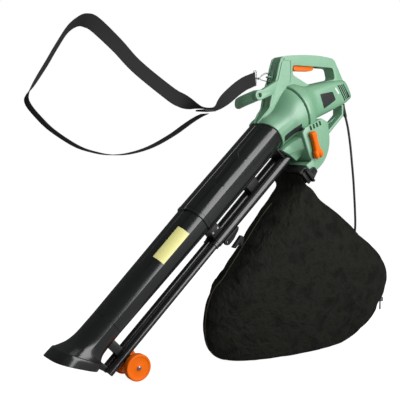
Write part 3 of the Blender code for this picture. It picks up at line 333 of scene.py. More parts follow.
class Form:
    """A mesh being made, in the machine's frame."""

    def __init__(self) -> None:
        """Start with no faces."""
        self.bm = bmesh.new()
        self.bm.edges.layers.int.new("crisp")

    def skin(self, rings: Sequence[Ring], caps: bool = True, loop: bool = False) -> Form:
        """Join rings of equal count by faces.

        Args:
            rings: The rings, in order.
            caps: Close the first and last ring.
            loop: Join the last ring to the first.

        Returns:
            This form.
        """
        made = [[self.bm.verts.new(p) for p in ring] for ring in rings]
        for low, high in zip(made, made[1:] + made[:1] if loop else made[1:]):
            for a, b, c, d in zip(low, low[1:] + low[:1], high[1:] + high[:1], high):
                self.bm.faces.new((a, b, c, d))
        if caps and not loop:
            self.bm.faces.new(made[0][::-1])
            self.bm.faces.new(made[-1])
        return self

    def mapped(self, rings: Sequence[Ring]) -> Form:
        """Give the walls of a skin through these rings a UV map in metres of cloth."""
        layer = self.bm.loops.layers.uv.verify()
        middle = rings[len(rings) // 2]
        wide = [(a - b).length for a, b in zip(middle, middle[1:] + middle[:1])]
        walls = iter(list(self.bm.faces))
        along = 0.0
        for low, high in zip(rings, rings[1:]):
            step = (low[0] - high[0]).length
            around = 0.0
            for width in wide:
                corners = ((around, along), (around + width, along),
                           (around + width, along + step), (around, along + step))
                for corner, uv in zip(next(walls).loops, corners):
                    corner[layer].uv = uv
                around += width
            along += step
        return self

    def loft(self, stations: Sequence[Station], sides: int, steps: int) -> Form:
        """Loft a smooth closed form through stations.

        Args:
            stations: The cross-sections.
            sides: Points in each ring.
            steps: Rings for each gap between stations.

        Returns:
            This form.
        """
        rows = smooth_numbers([s.numbers() for s in stations], steps)
        return self.skin([section(row, sides) for row in rows]).sound()

    def slab(self, outline: Sequence[Vector], offset: Vector) -> Form:
        """Extrude a flat outline of points in space by an offset."""
        return self.skin([outline, [p + offset for p in outline]]).sound()

    def prism(self, outline: Sequence[Pair], low: float, high: float, slant: Slant = LEVEL) -> Form:
        """Extrude an outline of (along, up) points from low to high across the machine."""
        return self.slab([slant.at(x, low, z) for x, z in outline], Vector((0, high - low, 0)))

    def turn(self, profile: Sequence[Pair], centre: Vector, axis: Vector, sides: int = 48) -> Form:
        """Revolve (along, radius) points about an axis.

        Args:
            profile: The points. A first and last radius of 0 closes the ends, else it is a ring.
            centre: The point where along is 0.
            axis: The direction of the axis.
            sides: Faces round.

        Returns:
            This form.
        """
        ahead = axis.normalized()
        side = ahead.orthogonal().normalized()
        other = ahead.cross(side)
        rings = []
        for along, radius in profile:
            middle = centre + ahead * along
            ring = [middle + (side * c + other * s) * radius for c, s in turns(sides)]
            rings.append([self.bm.verts.new(p) for p in (ring if radius else [middle])])
        pairs = list(zip(rings, rings[1:]))
        if profile[0][1] != 0:
            pairs.append((rings[-1], rings[0]))
        for low, high in pairs:
            for i in range(sides):
                j = (i + 1) % sides
                corners = (low[i % len(low)], low[j % len(low)],
                           high[j % len(high)], high[i % len(high)])
                face = list(dict.fromkeys(corners))
                if len(face) > 2:
                    self.bm.faces.new(face)
        return self.sound()

    def rod(self, radius: float, centre: Vector, axis: Vector, span: Pair, sides: int) -> Form:
        """Return a solid rod.

        Args:
            radius: Its radius.
            centre: A point on its axis.
            axis: Its direction.
            span: Where it starts and ends along the axis, from the centre.
            sides: Faces round.

        Returns:
            This form.
        """
        low, high = span
        profile = [(low, 0), (low, radius), (high, radius), (high, 0)]
        return self.turn(profile, centre, axis, sides)

    def sweep(self, path: Sequence[Vector], radius: float | Callable[[float], float],
              sides: int = 12, loop: bool = False) -> Form:
        """Carry a round section along a path.

        Args:
            path: The points of the path.
            radius: The wire's radius, or a function of the part of the path gone.
            sides: Faces round.
            loop: Close the path.

        Returns:
            This form.
        """
        last = len(path) - 1
        side = None
        rings = []
        for i, spot in enumerate(path):
            if loop:
                ahead = (path[(i + 1) % len(path)] - path[i - 1]).normalized()
            else:
                ahead = (path[min(i + 1, last)] - path[max(i - 1, 0)]).normalized()
            if side is None:
                side = Vector((0, 1, 0)) if abs(ahead.y) < 0.9 else Vector((1, 0, 0))
            side = (side - ahead * side.dot(ahead)).normalized()
            other = ahead.cross(side)
            size = radius(i / last) if callable(radius) else radius
            rings.append([spot + (side * c + other * s) * size for c, s in turns(sides)])
        return self.skin(rings, loop=loop).sound()

    def sound(self) -> Form:
        """Merge doubles and turn every face outwards."""
        bmesh.ops.remove_doubles(self.bm, verts=self.bm.verts, dist=TOUCH)
        bmesh.ops.recalc_face_normals(self.bm, faces=self.bm.faces)
        return self

    def spent(self, name: str) -> bpy.types.Mesh:
        """Return the form as a mesh, which ends the form."""
        mesh = bpy.data.meshes.new(name)
        self.bm.to_mesh(mesh)
        self.bm.free()
        return mesh

    def take(self, other: Form) -> Form:
        """Add another form's faces to this one, as its own shell."""
        mesh = other.spent("part")
        self.bm.from_mesh(mesh)
        bpy.data.meshes.remove(mesh)
        return self

    def through(self, name: str, **settings: object) -> Form:
        """Apply one modifier of Blender's to this form.

        Args:
            name: The modifier's type.
            settings: Its values.

        Returns:
            This form, changed.
        """
        work = placed("work", self.spent("work"))
        step = work.modifiers.new("step", name)
        for key, value in settings.items():
            setattr(step, key, value)
        bake(work, step)
        self.bm = bmesh.new()
        self.bm.from_mesh(work.data)
        discard(work)
        return self

    def bevel(self, width: float, segments: int = 3, angle: float = 32.0) -> Form:
        """Round the edges that are sharper than an angle in degrees."""
        return self.through("BEVEL", width=width, segments=segments, limit_method="ANGLE",
                            angle_limit=math.radians(angle), use_clamp_overlap=True,
                            harden_normals=False, miter_outer="MITER_ARC")

    def minus(self, *others: Form) -> Form:
        """Cut other forms out of this one, which uses them up."""
        for other in others:
            tool = placed("tool", other.spent("tool"))
            self.through("BOOLEAN", operation="DIFFERENCE", solver="EXACT", object=tool)
            discard(tool)
        return self

    def half(self, side: Side) -> Form:
        """Keep one side of the machine's middle plane, less half the seam, and close the cut."""
        plane = Vector((0, SEAM * side.value, 0))
        cut = bmesh.ops.bisect_plane(
            self.bm, geom=self.bm.verts[:] + self.bm.edges[:] + self.bm.faces[:], dist=TOUCH,
            plane_co=plane, plane_no=Vector((0, -side.value, 0)), clear_outer=True)
        rim = [e for e in cut["geom_cut"] if isinstance(e, bmesh.types.BMEdge)]
        if rim:
            bmesh.ops.triangle_fill(self.bm, edges=rim, use_beauty=True, use_dissolve=False)
        bmesh.ops.recalc_face_normals(self.bm, faces=self.bm.faces)
        return self

    def copy(self) -> Form:
        """Return a second form with the same faces."""
        twin = Form()
        twin.bm.free()
        twin.bm = self.bm.copy()
        return twin

    def crisp(self, angle: float) -> Form:
        """Keep every edge that is sharper than an angle in degrees crisp, whatever done() gets."""
        layers = self.bm.edges.layers.int
        layer = layers.get("crisp") or layers.new("crisp")
        for edge in self.bm.edges:
            if len(edge.link_faces) == 2 and edge.calc_face_angle(0.0) > math.radians(angle):
                edge[layer] = 1
        return self

    def done(self, name: str, sharp: float = 32.0) -> bpy.types.Object:
        """Turn the form into an object at the origin, shaded smooth up to an angle in degrees."""
        mesh = self.spent(name)
        mesh.shade_smooth()
        mesh.set_sharp_from_angle(angle=math.radians(sharp))
        kept = mesh.attributes.get("crisp")
        if kept:
            marks = [bool(item.value) for item in kept.data]
            mesh.attributes.remove(kept)
            for edge, mark in zip(mesh.edges, marks):
                if mark:
                    edge.use_edge_sharp = True
        return placed(name, mesh)


class Graph:
    """A node tree being wired, for materials and shared groups."""

    def __init__(self, tree: bpy.types.NodeTree) -> None:
        """Wire into this tree."""
        self.tree = tree

    def feed(self, socket: Socket, value: object) -> None:
        """Link a socket to the one given, or set its own value."""
        if isinstance(value, Socket):
            self.tree.links.new(value, socket)
        else:
            socket.default_value = value

    def node(self, kind: str, values: dict[str, object] | None = None,
             **settings: object) -> bpy.types.Node:
        """Add a node.

        Args:
            kind: The node's type.
            values: Numbers for its sockets, or sockets to link to them, by name.
            settings: The node's own properties.

        Returns:
            The node.
        """
        made = self.tree.nodes.new(kind)
        for key, value in settings.items():
            setattr(made, key, value)
        for key, value in (values or {}).items():
            name, _, pick = key.partition("#")
            self.feed([s for s in made.inputs if s.name == name][int(pick or 0)], value)
        return made

    def math(self, operation: str, *values: object) -> Socket:
        """Add a math node and return its output."""
        made = self.node("ShaderNodeMath", operation=operation)
        for socket, value in zip(made.inputs, values):
            self.feed(socket, value)
        return made.outputs[0]

    def sum(self, first: object, second: object) -> Socket:
        """Return the sum of two numbers or sockets."""
        return self.math("ADD", first, second)

    def times(self, first: object, second: object) -> Socket:
        """Return the product of two numbers or sockets."""
        return self.math("MULTIPLY", first, second)

    def wave(self, value: object) -> Socket:
        """Return the sine of a number or socket."""
        return self.math("SINE", value)

    def blend(self, factor: object, first: object, second: object) -> Socket:
        """Mix two colours by a factor and return the colour."""
        made = self.node("ShaderNodeMix", data_type="RGBA")
        for index, value in ((0, factor), (6, first), (7, second)):
            self.feed(made.inputs[index], value)
        return made.outputs[2]

    def noise(self, place: object, scale: object, detail: float,
              roughness: float = 0.5) -> Socket:
        """Return the value of a noise texture at a place."""
        values = {"Vector": place, "Scale": scale, "Detail": detail, "Roughness": roughness}
        return self.node("ShaderNodeTexNoise", values).outputs[0]

    def bump(self, height: object, distance: float, strength: float,
             **below: object) -> Socket:
        """Return the normal of a bump, over another one if Normal is given."""
        values = {"Height": height, "Distance": distance, "Strength": strength, **below}
        return self.node("ShaderNodeBump", values).outputs[0]

    def shared(self, effect: Effect, place: object, *numbers: float) -> list[Socket]:
        """Return the outputs of a shared group at a place, with its numbers in order."""
        made = self.node("ShaderNodeGroup", node_tree=effect.tree())
        for socket, value in zip(made.inputs, (place, *numbers)):
            self.feed(socket, value)
        return list(made.outputs)


@dataclass(frozen=True)
class Effect:
    """A shader group that several finishes share, from a place and numbers to numbers."""

    name: str
    inputs: tuple[str, ...]
    outputs: tuple[str, ...]
    wire: Callable[[Graph, Sequence[Socket]], Sequence[Socket]]

    def tree(self) -> bpy.types.ShaderNodeTree:
        """Return the group, wired on first use."""
        tree = bpy.data.node_groups.get(self.name)
        if tree:
            return tree
        tree = bpy.data.node_groups.new(self.name, "ShaderNodeTree")
        face = tree.interface
        face.new_socket("Vector", in_out="INPUT", socket_type="NodeSocketVector")
        for way, labels in (("INPUT", self.inputs), ("OUTPUT", self.outputs)):
            for label in labels:
                face.new_socket(label, in_out=way, socket_type="NodeSocketFloat")
        start, end = tree.nodes.new("NodeGroupInput"), tree.nodes.new("NodeGroupOutput")
        for socket, value in zip(end.inputs, self.wire(Graph(tree), start.outputs)):
            tree.links.new(value, socket)
        return tree


def mould_grain(g: Graph, given: Sequence[Socket]) -> list[Socket]:
    """Wire spark-eroded mould grain and a slow change of tone from a place and a scale."""
    place, scale = given[:2]
    fine = g.noise(place, scale, 3.0, 0.6)
    pits = g.node("ShaderNodeTexVoronoi", {"Vector": place, "Scale": scale})
    height = g.sum(g.times(fine, 0.7), g.times(pits.outputs["Distance"], 0.3))
    return [height, g.noise(place, 14.0, 4.0, 0.55)]


def edge_rub(g: Graph, given: Sequence[Socket]) -> list[Socket]:
    """Wire a mask of rubbed edges, broken up by noise, from a place and an amount."""
    place, amount = given[:2]
    radius, gain, grain = 0.0012, 9.0, 120.0
    round_off = g.node("ShaderNodeBevel", {"Radius": radius}, samples=4)
    plain = g.node("ShaderNodeNewGeometry").outputs["Normal"]
    dot = g.node("ShaderNodeVectorMath", {"Vector#0": round_off.outputs[0], "Vector#1": plain},
                 operation="DOT_PRODUCT")
    bend = g.times(g.math("SUBTRACT", 1.0, dot.outputs["Value"]), gain)
    broken = g.times(bend, g.times(g.noise(place, grain, 5.0, 0.7), amount))
    return [g.node("ShaderNodeClamp", {"Value": broken}).outputs[0]]


def settled_dust(g: Graph, given: Sequence[Socket]) -> list[Socket]:
    """Wire a mask of fine dust on faces turned up, from a place and an amount."""
    place, amount = given[:2]
    plain = g.node("ShaderNodeNewGeometry").outputs["Normal"]
    split = g.node("ShaderNodeSeparateXYZ", {"Vector": plain})
    up = g.math("MAXIMUM", g.sum(split.outputs[2], 0.25), 0.0)
    return [g.times(g.times(up, g.noise(place, 38.0, 6.0, 0.65)), amount)]


def plain_weave(g: Graph, given: Sequence[Socket]) -> list[Socket]:
    """Wire a plain weave on a map in metres, from a place and the threads across and along."""
    split = g.node("ShaderNodeSeparateXYZ", {"Vector": given[0]})
    warp, weft = [g.wave(g.times(g.times(split.outputs[k], given[k + 1]), math.pi))
                  for k in range(2)]
    over = g.times(warp, weft)
    height = g.times(g.sum(g.math("ABSOLUTE", warp), g.math("ABSOLUTE", weft)), 0.5)
    return [g.sum(height, g.times(over, 0.25)), g.sum(g.times(over, 0.5), 0.5)]


def cloth_threads(g: Graph, given: Sequence[Socket]) -> list[Socket]:
    """Wire crossing threads in space, so that cloth needs no map, from a place and a scale."""
    place, scale = given[:2]
    split = g.node("ShaderNodeSeparateXYZ", {"Vector": place})
    lean = g.sum(split.outputs[0], g.times(split.outputs[1], 0.7))
    warp, weft = g.wave(g.times(lean, scale)), g.wave(g.times(split.outputs[2], scale))
    over = g.times(warp, weft)
    height = g.sum(g.times(g.sum(warp, weft), 0.25), g.times(over, 0.5))
    return [height, g.sum(g.times(over, 0.5), 0.5)]


def cloth_rumple(g: Graph, given: Sequence[Socket]) -> list[Socket]:
    """Wire small crumples of coated cloth: sharp little ridges between soft hollows."""
    warp = g.node("ShaderNodeTexNoise", {"Vector": given[0], "Scale": 14.0, "Detail": 3.0})
    bent = g.node("ShaderNodeVectorMath", {"Vector#0": warp.outputs["Color"],
                                           "Vector#1": (0.05, 0.05, 0.05), "Vector#2": given[0]},
                  operation="MULTIPLY_ADD")
    parts = []
    for scale, share in ((19.0, 0.55), (48.0, 0.28), (110.0, 0.12)):
        fold = g.math("ABSOLUTE", g.math("SUBTRACT", g.noise(bent.outputs[0], scale, 2.0), 0.5))
        parts.append(g.times(g.math("SUBTRACT", 1.0, g.times(fold, 4.0)), share))
    return [g.sum(g.sum(parts[0], parts[1]), parts[2])]


MOULD_GRAIN = Effect("mould_grain", ("Scale",), ("Height", "Tone"), mould_grain)
EDGE_RUB = Effect("edge_rub", ("Amount",), ("Mask",), edge_rub)
SETTLED_DUST = Effect("settled_dust", ("Amount",), ("Mask",), settled_dust)
PLAIN_WEAVE = Effect("plain_weave", ("Across", "Along"), ("Height", "Thread"), plain_weave)
CLOTH_THREADS = Effect("cloth_threads", ("Scale",), ("Height", "Thread"), cloth_threads)
CLOTH_RUMPLE = Effect("cloth_rumple", (), ("Height",), cloth_rumple)


def opaque(colour: Triple, factor: float = 1.0) -> tuple[float, ...]:
    """Return a colour, made lighter or darker by a factor, with full alpha."""
    return (*(min(1.0, c * factor) for c in colour), 1.0)


@dataclass(frozen=True)
class Finish:
    """A surface finish of one material slot; make() returns its material, made once."""

    name: str
    colour: Triple
    roughness: float = 0.45
    slot: str = ""
    specular: float = 0.5

    def start(self) -> tuple[Graph, bpy.types.Node, Socket]:
        """Begin the material and return its graph, its shader and object coordinates."""
        made = bpy.data.materials.new(self.name)
        made.use_nodes = True
        made.diffuse_color = opaque(self.colour)
        g = Graph(made.node_tree)
        shader = made.node_tree.nodes["Principled BSDF"]
        shader.inputs["Specular IOR Level"].default_value = self.specular
        return g, shader, g.node("ShaderNodeTexCoord").outputs["Object"]

    @staticmethod
    def end(g: Graph, shader: bpy.types.Node, *values: Socket) -> None:
        """Link a colour, a roughness and a normal to the shader."""
        for name, value in zip(("Base Color", "Roughness", "Normal"), values):
            g.feed(shader.inputs[name], value)

    def make(self) -> bpy.types.Material:
        """Return the material, built on first use."""
        if self.name not in bpy.data.materials:
            self.build()
        return bpy.data.materials[self.name]

    def build(self) -> None:
        """Build the material; each kind of finish has its own."""
        raise NotImplementedError


@dataclass(frozen=True)
class Moulded(Finish):
    """Injection-moulded plastic with grain, rubbed edges and a little dust."""

    grain: float = 900.0
    depth: float = 0.00004
    rub: float = 0.35
    rub_colour: Triple = (0.05, 0.05, 0.05)
    dust: float = 0.1
    dust_colour: Triple = (0.45, 0.43, 0.38)
    tone: float = 0.12

    def build(self) -> None:
        """Wire grain to the bump, tone and rub to the colour, and dust to the roughness."""
        g, shader, place = self.start()
        height, tone = g.shared(MOULD_GRAIN, place, self.grain)
        rub = g.shared(EDGE_RUB, place, self.rub)[0]
        dust = g.shared(SETTLED_DUST, place, self.dust)[0]
        base = g.blend(tone, opaque(self.colour, 1 - self.tone), opaque(self.colour, 1 + self.tone))
        worn = g.blend(rub, base, opaque(self.rub_colour))
        rough = g.sum(g.times(tone, 0.1), g.sum(self.roughness - 0.05, g.times(dust, 0.4)))
        self.end(g, shader, g.blend(dust, worn, opaque(self.dust_colour)), rough,
                 g.bump(height, self.depth, 0.6))


@dataclass(frozen=True)
class Metal(Finish):
    """Plated, drawn or wound metal with fine lines and spots."""

    lines: Triple = (40.0, 40.0, 900.0)

    def build(self) -> None:
        """Wire drawn lines to the roughness and bump and spots to the colour."""
        g, shader, place = self.start()
        shader.inputs["Metallic"].default_value = 1.0
        stretch = g.node("ShaderNodeMapping", {"Vector": place, "Scale": self.lines})
        lines = g.noise(stretch.outputs[0], 3.0, 4.0)
        colour = g.blend(g.noise(place, 160.0, 4.0), opaque(self.colour, 0.72),
                         opaque(self.colour))
        self.end(g, shader, colour, g.sum(g.times(lines, 0.22), self.roughness - 0.11),
                 g.bump(lines, 0.00003, 0.4))


@dataclass(frozen=True)
class Woven(Finish):
    """Woven webbing or thread on its UV map, with wear."""

    across: float = 900.0
    along: float = 900.0
    fade: Triple = (0.05, 0.05, 0.045)
    depth: float = 0.0003
    specular: float = 0.16

    def build(self) -> None:
        """Wire the weave to the bump, and wear to the colour."""
        g, shader, place = self.start()
        flat = g.node("ShaderNodeTexCoord").outputs["UV"]
        height, thread = g.shared(PLAIN_WEAVE, flat, self.across, self.along)
        mottle = g.node("ShaderNodeTexNoise", {"Vector": place, "Scale": 16.0, "Detail": 7.0,
                                               "Roughness": 0.62, "Distortion": 0.6})
        spread = g.node("ShaderNodeMapRange", {"Value": mottle.outputs[0], "From Min": 0.35,
                                               "From Max": 0.7})
        base = g.blend(spread.outputs[0], opaque(self.colour), opaque(self.fade))
        rough = g.sum(self.roughness - 0.05, g.times(g.noise(place, 70.0, 5.0, 0.6), 0.1))
        self.end(g, shader, g.blend(g.times(thread, 0.35), base, opaque(self.fade, 1.7)), rough,
                 g.bump(height, self.depth, 0.5))


@dataclass(frozen=True)
class Cloth(Finish):
    """Coated bag cloth or tape, its threads and creases on object coordinates."""

    threads: float = 1500.0
    crease: float = 1.0
    # The lighter colour laid on the crests of the crumples, and a little lighter still on the
    # threads.
    fade: Triple = (0.02, 0.02, 0.018)
    specular: float = 0.12

    def build(self) -> None:
        """Wire threads and creases to the bump, and a lighter colour on the threads and on the crests
        of the crumples to the colour.
        """
        g, shader, place = self.start()
        height, thread = g.shared(CLOTH_THREADS, place, self.threads)
        folds = g.shared(CLOTH_RUMPLE, place)[0]
        spread = g.node("ShaderNodeMapRange", {"Value": folds, "From Min": 0.4, "From Max": 0.78})
        base = g.blend(spread.outputs[0], opaque(self.colour), opaque(self.fade))
        wide = g.bump(folds, 0.0065 * self.crease, 0.85)
        self.end(g, shader, g.blend(g.times(thread, 0.3), base, opaque(self.fade, 1.9)),
                 g.sum(self.roughness - 0.08, g.times(thread, 0.1)),
                 g.bump(height, 0.00025, 0.5, Normal=wide))


@dataclass(frozen=True)
class Paper(Finish):
    """A blank printed film: a label's face with faint scuffs."""

    def build(self) -> None:
        """Wire scuffs to the colour and roughness."""
        g, shader, place = self.start()
        scuff = g.noise(place, 220.0, 6.0, 0.7)
        self.end(g, shader, g.blend(scuff, opaque(self.colour, 0.86), opaque(self.colour)),
                 g.sum(g.times(scuff, 0.2), self.roughness - 0.1), g.bump(scuff, 0.00003, 0.3))


GREEN = Moulded("green_casing", (0.178, 0.38, 0.233), 0.4, "green_plastic", 0.95, depth=0.00003,
                rub_colour=(0.32, 0.55, 0.4), dust=0.03, tone=0.07)
BLACK = Moulded("black_tube", (0.0095, 0.0105, 0.0105), 0.21, "black_plastic", 0.75, grain=1400.0,
                depth=0.00002, rub=0.1, dust=0.01)
DULL_BLACK = Moulded("black_fitting", (0.009, 0.009, 0.009), 0.46, "black_plastic", 0.3,
                     rub=0.12, dust=0.02)
ORANGE = Moulded("orange_control", (0.92, 0.16, 0.004), 0.36, "orange_plastic", 0.15,
                 rub_colour=(1.0, 0.34, 0.05), rub=0.3, dust=0.02, tone=0.06)
STEEL = Metal("plated_steel", (0.4, 0.41, 0.42), 0.3, "bright_steel")
COPPER = Metal("copper_winding", (0.62, 0.26, 0.1), 0.36, lines=(900.0, 40.0, 40.0))
IRON = Metal("laminated_iron", (0.22, 0.22, 0.23), 0.46, lines=(1200.0, 30.0, 30.0))
CARBON = Paper("carbon_brush", (0.03, 0.03, 0.03), 0.7)
BAG_CLOTH = Cloth("bag_cloth", (0.0032, 0.0032, 0.0025), 0.8, "bag_fabric",
                  fade=(0.01, 0.01, 0.0078))
HEM = Cloth("hem_tape", (0.03, 0.024, 0.017), 0.88, "bag_fabric", threads=1800.0, crease=0.2,
            fade=(0.05, 0.041, 0.03))
WEBBING = Woven("strap_webbing", (0.0075, 0.0075, 0.0075), 0.82, "strap_webbing", across=520.0,
                along=300.0, fade=(0.013, 0.013, 0.0125), depth=0.0006)
THREAD = Woven("black_thread", (0.03, 0.03, 0.03), 0.8, across=3000.0, along=3000.0)
RUBBER = Moulded("lead_rubber", (0.012, 0.012, 0.013), 0.5, "cord_rubber", grain=1800.0, rub=0.1,
                 dust=0.06)
DARK_PLATE = Paper("dark_plate", (0.02, 0.021, 0.022), 0.4)
WHITE_FILM = Paper("white_film", (0.8, 0.81, 0.8), 0.45)
YELLOW_FILM = Paper("yellow_film", (0.95, 0.91, 0.36), 0.42)


class GeoTree:
    """A geometry-node tree built in code, whose result is kept as a plain mesh."""

    def __init__(self, name: str) -> None:
        """Start a tree with a geometry input and output."""
        self.tree = bpy.data.node_groups.new(name, "GeometryNodeTree")
        for way in ("INPUT", "OUTPUT"):
            self.tree.interface.new_socket("Geometry", in_out=way,
                                           socket_type="NodeSocketGeometry")
        self.graph = Graph(self.tree)
        self.start = self.tree.nodes.new("NodeGroupInput")
        self.end = self.tree.nodes.new("NodeGroupOutput")

    def given(self, *names: str, kind: str = "Float") -> list[Socket]:
        """Add named inputs of one kind and return their sockets inside the tree."""
        for name in names:
            self.tree.interface.new_socket(name, in_out="INPUT", socket_type=f"NodeSocket{kind}")
        return [s for name in names for s in self.start.outputs if s.name == name]

    def step(self, kind: str, values: dict[str, object] | None = None,
             **settings: object) -> Socket:
        """Add a geometry node and return its first output."""
        return self.graph.node(f"GeometryNode{kind}", values, **settings).outputs[0]

    def along(self, curve: Socket, piece: Socket,
              **more: object) -> Socket:
        """Set a piece on every point of a curve, turned with it, and return the set."""
        points = self.graph.node("GeometryNodeCurveToPoints", {"Curve": curve}, mode="EVALUATED")
        values = {"Points": points.outputs["Points"], "Instance": piece,
                  "Rotation": points.outputs["Rotation"], **more}
        return self.step("InstanceOnPoints", values)

    def size(self, **lengths: object) -> Socket:
        """Return a vector of the lengths given for X, Y and Z."""
        return self.graph.node("ShaderNodeCombineXYZ", lengths).outputs[0]

    def close(self, geometry: Socket) -> GeoTree:
        """Realise the instances, give them the Finish input's material and end the tree."""
        skin = self.given("Finish", kind="Material")[0]
        real = self.step("RealizeInstances", {"Geometry": geometry})
        done = self.step("SetMaterial", {"Geometry": real, "Material": skin})
        self.tree.links.new(done, self.end.inputs[0])
        return self

    def grow(self, name: str, base: Form, finish: Finish, **values: object) -> bpy.types.Object:
        """Run the tree on a form.

        Args:
            name: The new object's name.
            base: What the tree starts from.
            finish: The surface that it gives the result.
            values: The tree's other inputs by name.

        Returns:
            A plain mesh object at the origin.
        """
        host = base.done(name)
        step = host.modifiers.new("grow", "NODES")
        step.node_group = self.tree
        values["Finish"] = finish.make()
        for item in self.tree.interface.items_tree:
            if item.in_out == "INPUT" and item.name in values:
                step[item.identifier] = values[item.name]
        bake(host, step)
        host.data.shade_smooth()
        host.data.set_sharp_from_angle(angle=math.radians(35))
        return host


class Patterns:
    """The geometry-node trees for what repeats or follows a rule."""

    @staticmethod
    def stitches() -> GeoTree:
        """Short rounded stitches at even steps along the edges of the form."""
        geo = GeoTree("stitch_run")
        pitch, length, thick = geo.given("Pitch", "Length", "Thickness")
        line = geo.step("MeshToCurve", {"Mesh": geo.start.outputs[0]})
        even = geo.step("ResampleCurve", {"Curve": line, "Length": pitch}, mode="LENGTH")
        bead = geo.step("MeshUVSphere", {"Segments": 6, "Rings": 4, "Radius": 0.5})
        return geo.close(geo.along(even, bead, Scale=geo.size(X=thick, Y=thick, Z=length)))

    @staticmethod
    def ribs() -> GeoTree:
        """Rounded bars set evenly round a circle, for a wheel's face."""
        geo = GeoTree("rib_ring")
        count = geo.given("Count", kind="Int")[0]
        radius, wide, length, rise = geo.given("Radius", "Width", "Length", "Rise")
        centre = geo.given("Centre", kind="Vector")[0]
        circle = geo.step("CurvePrimitiveCircle", {"Resolution": count, "Radius": radius})
        bar = geo.step("MeshCube", {"Size": geo.size(X=rise, Y=length, Z=wide)})
        return geo.close(geo.step("Transform", {
            "Geometry": geo.along(circle, bar), "Rotation": (math.pi / 2, 0.0, 0.0),
            "Translation": centre}))

    @staticmethod
    def screws() -> GeoTree:
        """Pan heads with a cross recess, one on each vertex."""
        geo = GeoTree("screw_set")
        g = geo.graph
        radius, turn = geo.given("Radius")[0], geo.given("Turn", kind="Vector")[0]
        head = geo.step("MeshCylinder", {"Vertices": 20, "Radius": radius,
                                         "Depth": g.times(radius, 0.6)})
        size = geo.size(X=g.times(radius, 1.15), Y=g.times(radius, 0.26), Z=radius)
        slot = geo.step("MeshCube", {"Size": size})
        one = geo.step("Transform", {"Geometry": slot,
                                     "Translation": geo.size(Z=g.times(radius, 0.65))})
        two = geo.step("Transform", {"Geometry": one, "Rotation": (0.0, 0.0, math.pi / 2)})
        cross = g.node("GeometryNodeMeshBoolean", operation="DIFFERENCE")
        for socket, part in zip((cross.inputs[0], cross.inputs[1], cross.inputs[1]),
                                (head, one, two)):
            g.feed(socket, part)
        return geo.close(geo.step("InstanceOnPoints", {
            "Points": geo.start.outputs[0], "Instance": cross.outputs[0], "Rotation": turn}))

    @staticmethod
    def taper() -> GeoTree:
        """Stretch a unit ring into a straight tube that tapers evenly, walls and all."""
        geo = GeoTree("taper_tube")
        g = geo.graph
        low, high, length = geo.given("Low Radius", "High Radius", "Length")
        origin, turn = geo.given("Origin", "Turn", kind="Vector")
        parts = g.node("ShaderNodeSeparateXYZ", {"Vector": geo.step("InputPosition")}).outputs
        radius = g.sum(low, g.times(parts[2], g.math("SUBTRACT", high, low)))
        place = geo.size(X=g.times(parts[0], radius), Y=g.times(parts[1], radius),
                         Z=g.times(parts[2], length))
        moved = geo.step("SetPosition", {"Geometry": geo.start.outputs[0], "Position": place})
        return geo.close(geo.step("Transform", {"Geometry": moved, "Rotation": turn,
                                                "Translation": origin}))


@dataclass
class Assembly:
    """A sub-assembly that dresses part of the machine."""

    made: list[bpy.types.Object] = field(default_factory=list)

    def add(self, piece: bpy.types.Object, finish: Finish, *nodes: str,
            body: Body = Body.MACHINE) -> bpy.types.Object:
        """Give a piece its finish, its body and the nodes that it stands for.

        Args:
            piece: The finished object.
            finish: Its surface.
            nodes: CAD nodes that it stands for.
            body: The body it rides on.

        Returns:
            The piece.
        """
        piece.data.materials.clear()
        piece.data.materials.append(finish.make())
        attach(piece, body.value)
        if nodes:
            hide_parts(*nodes)
        self.made.append(piece)
        return piece

    def build(self) -> None:
        """Build the sub-assembly; each kind has its own."""
        raise NotImplementedError


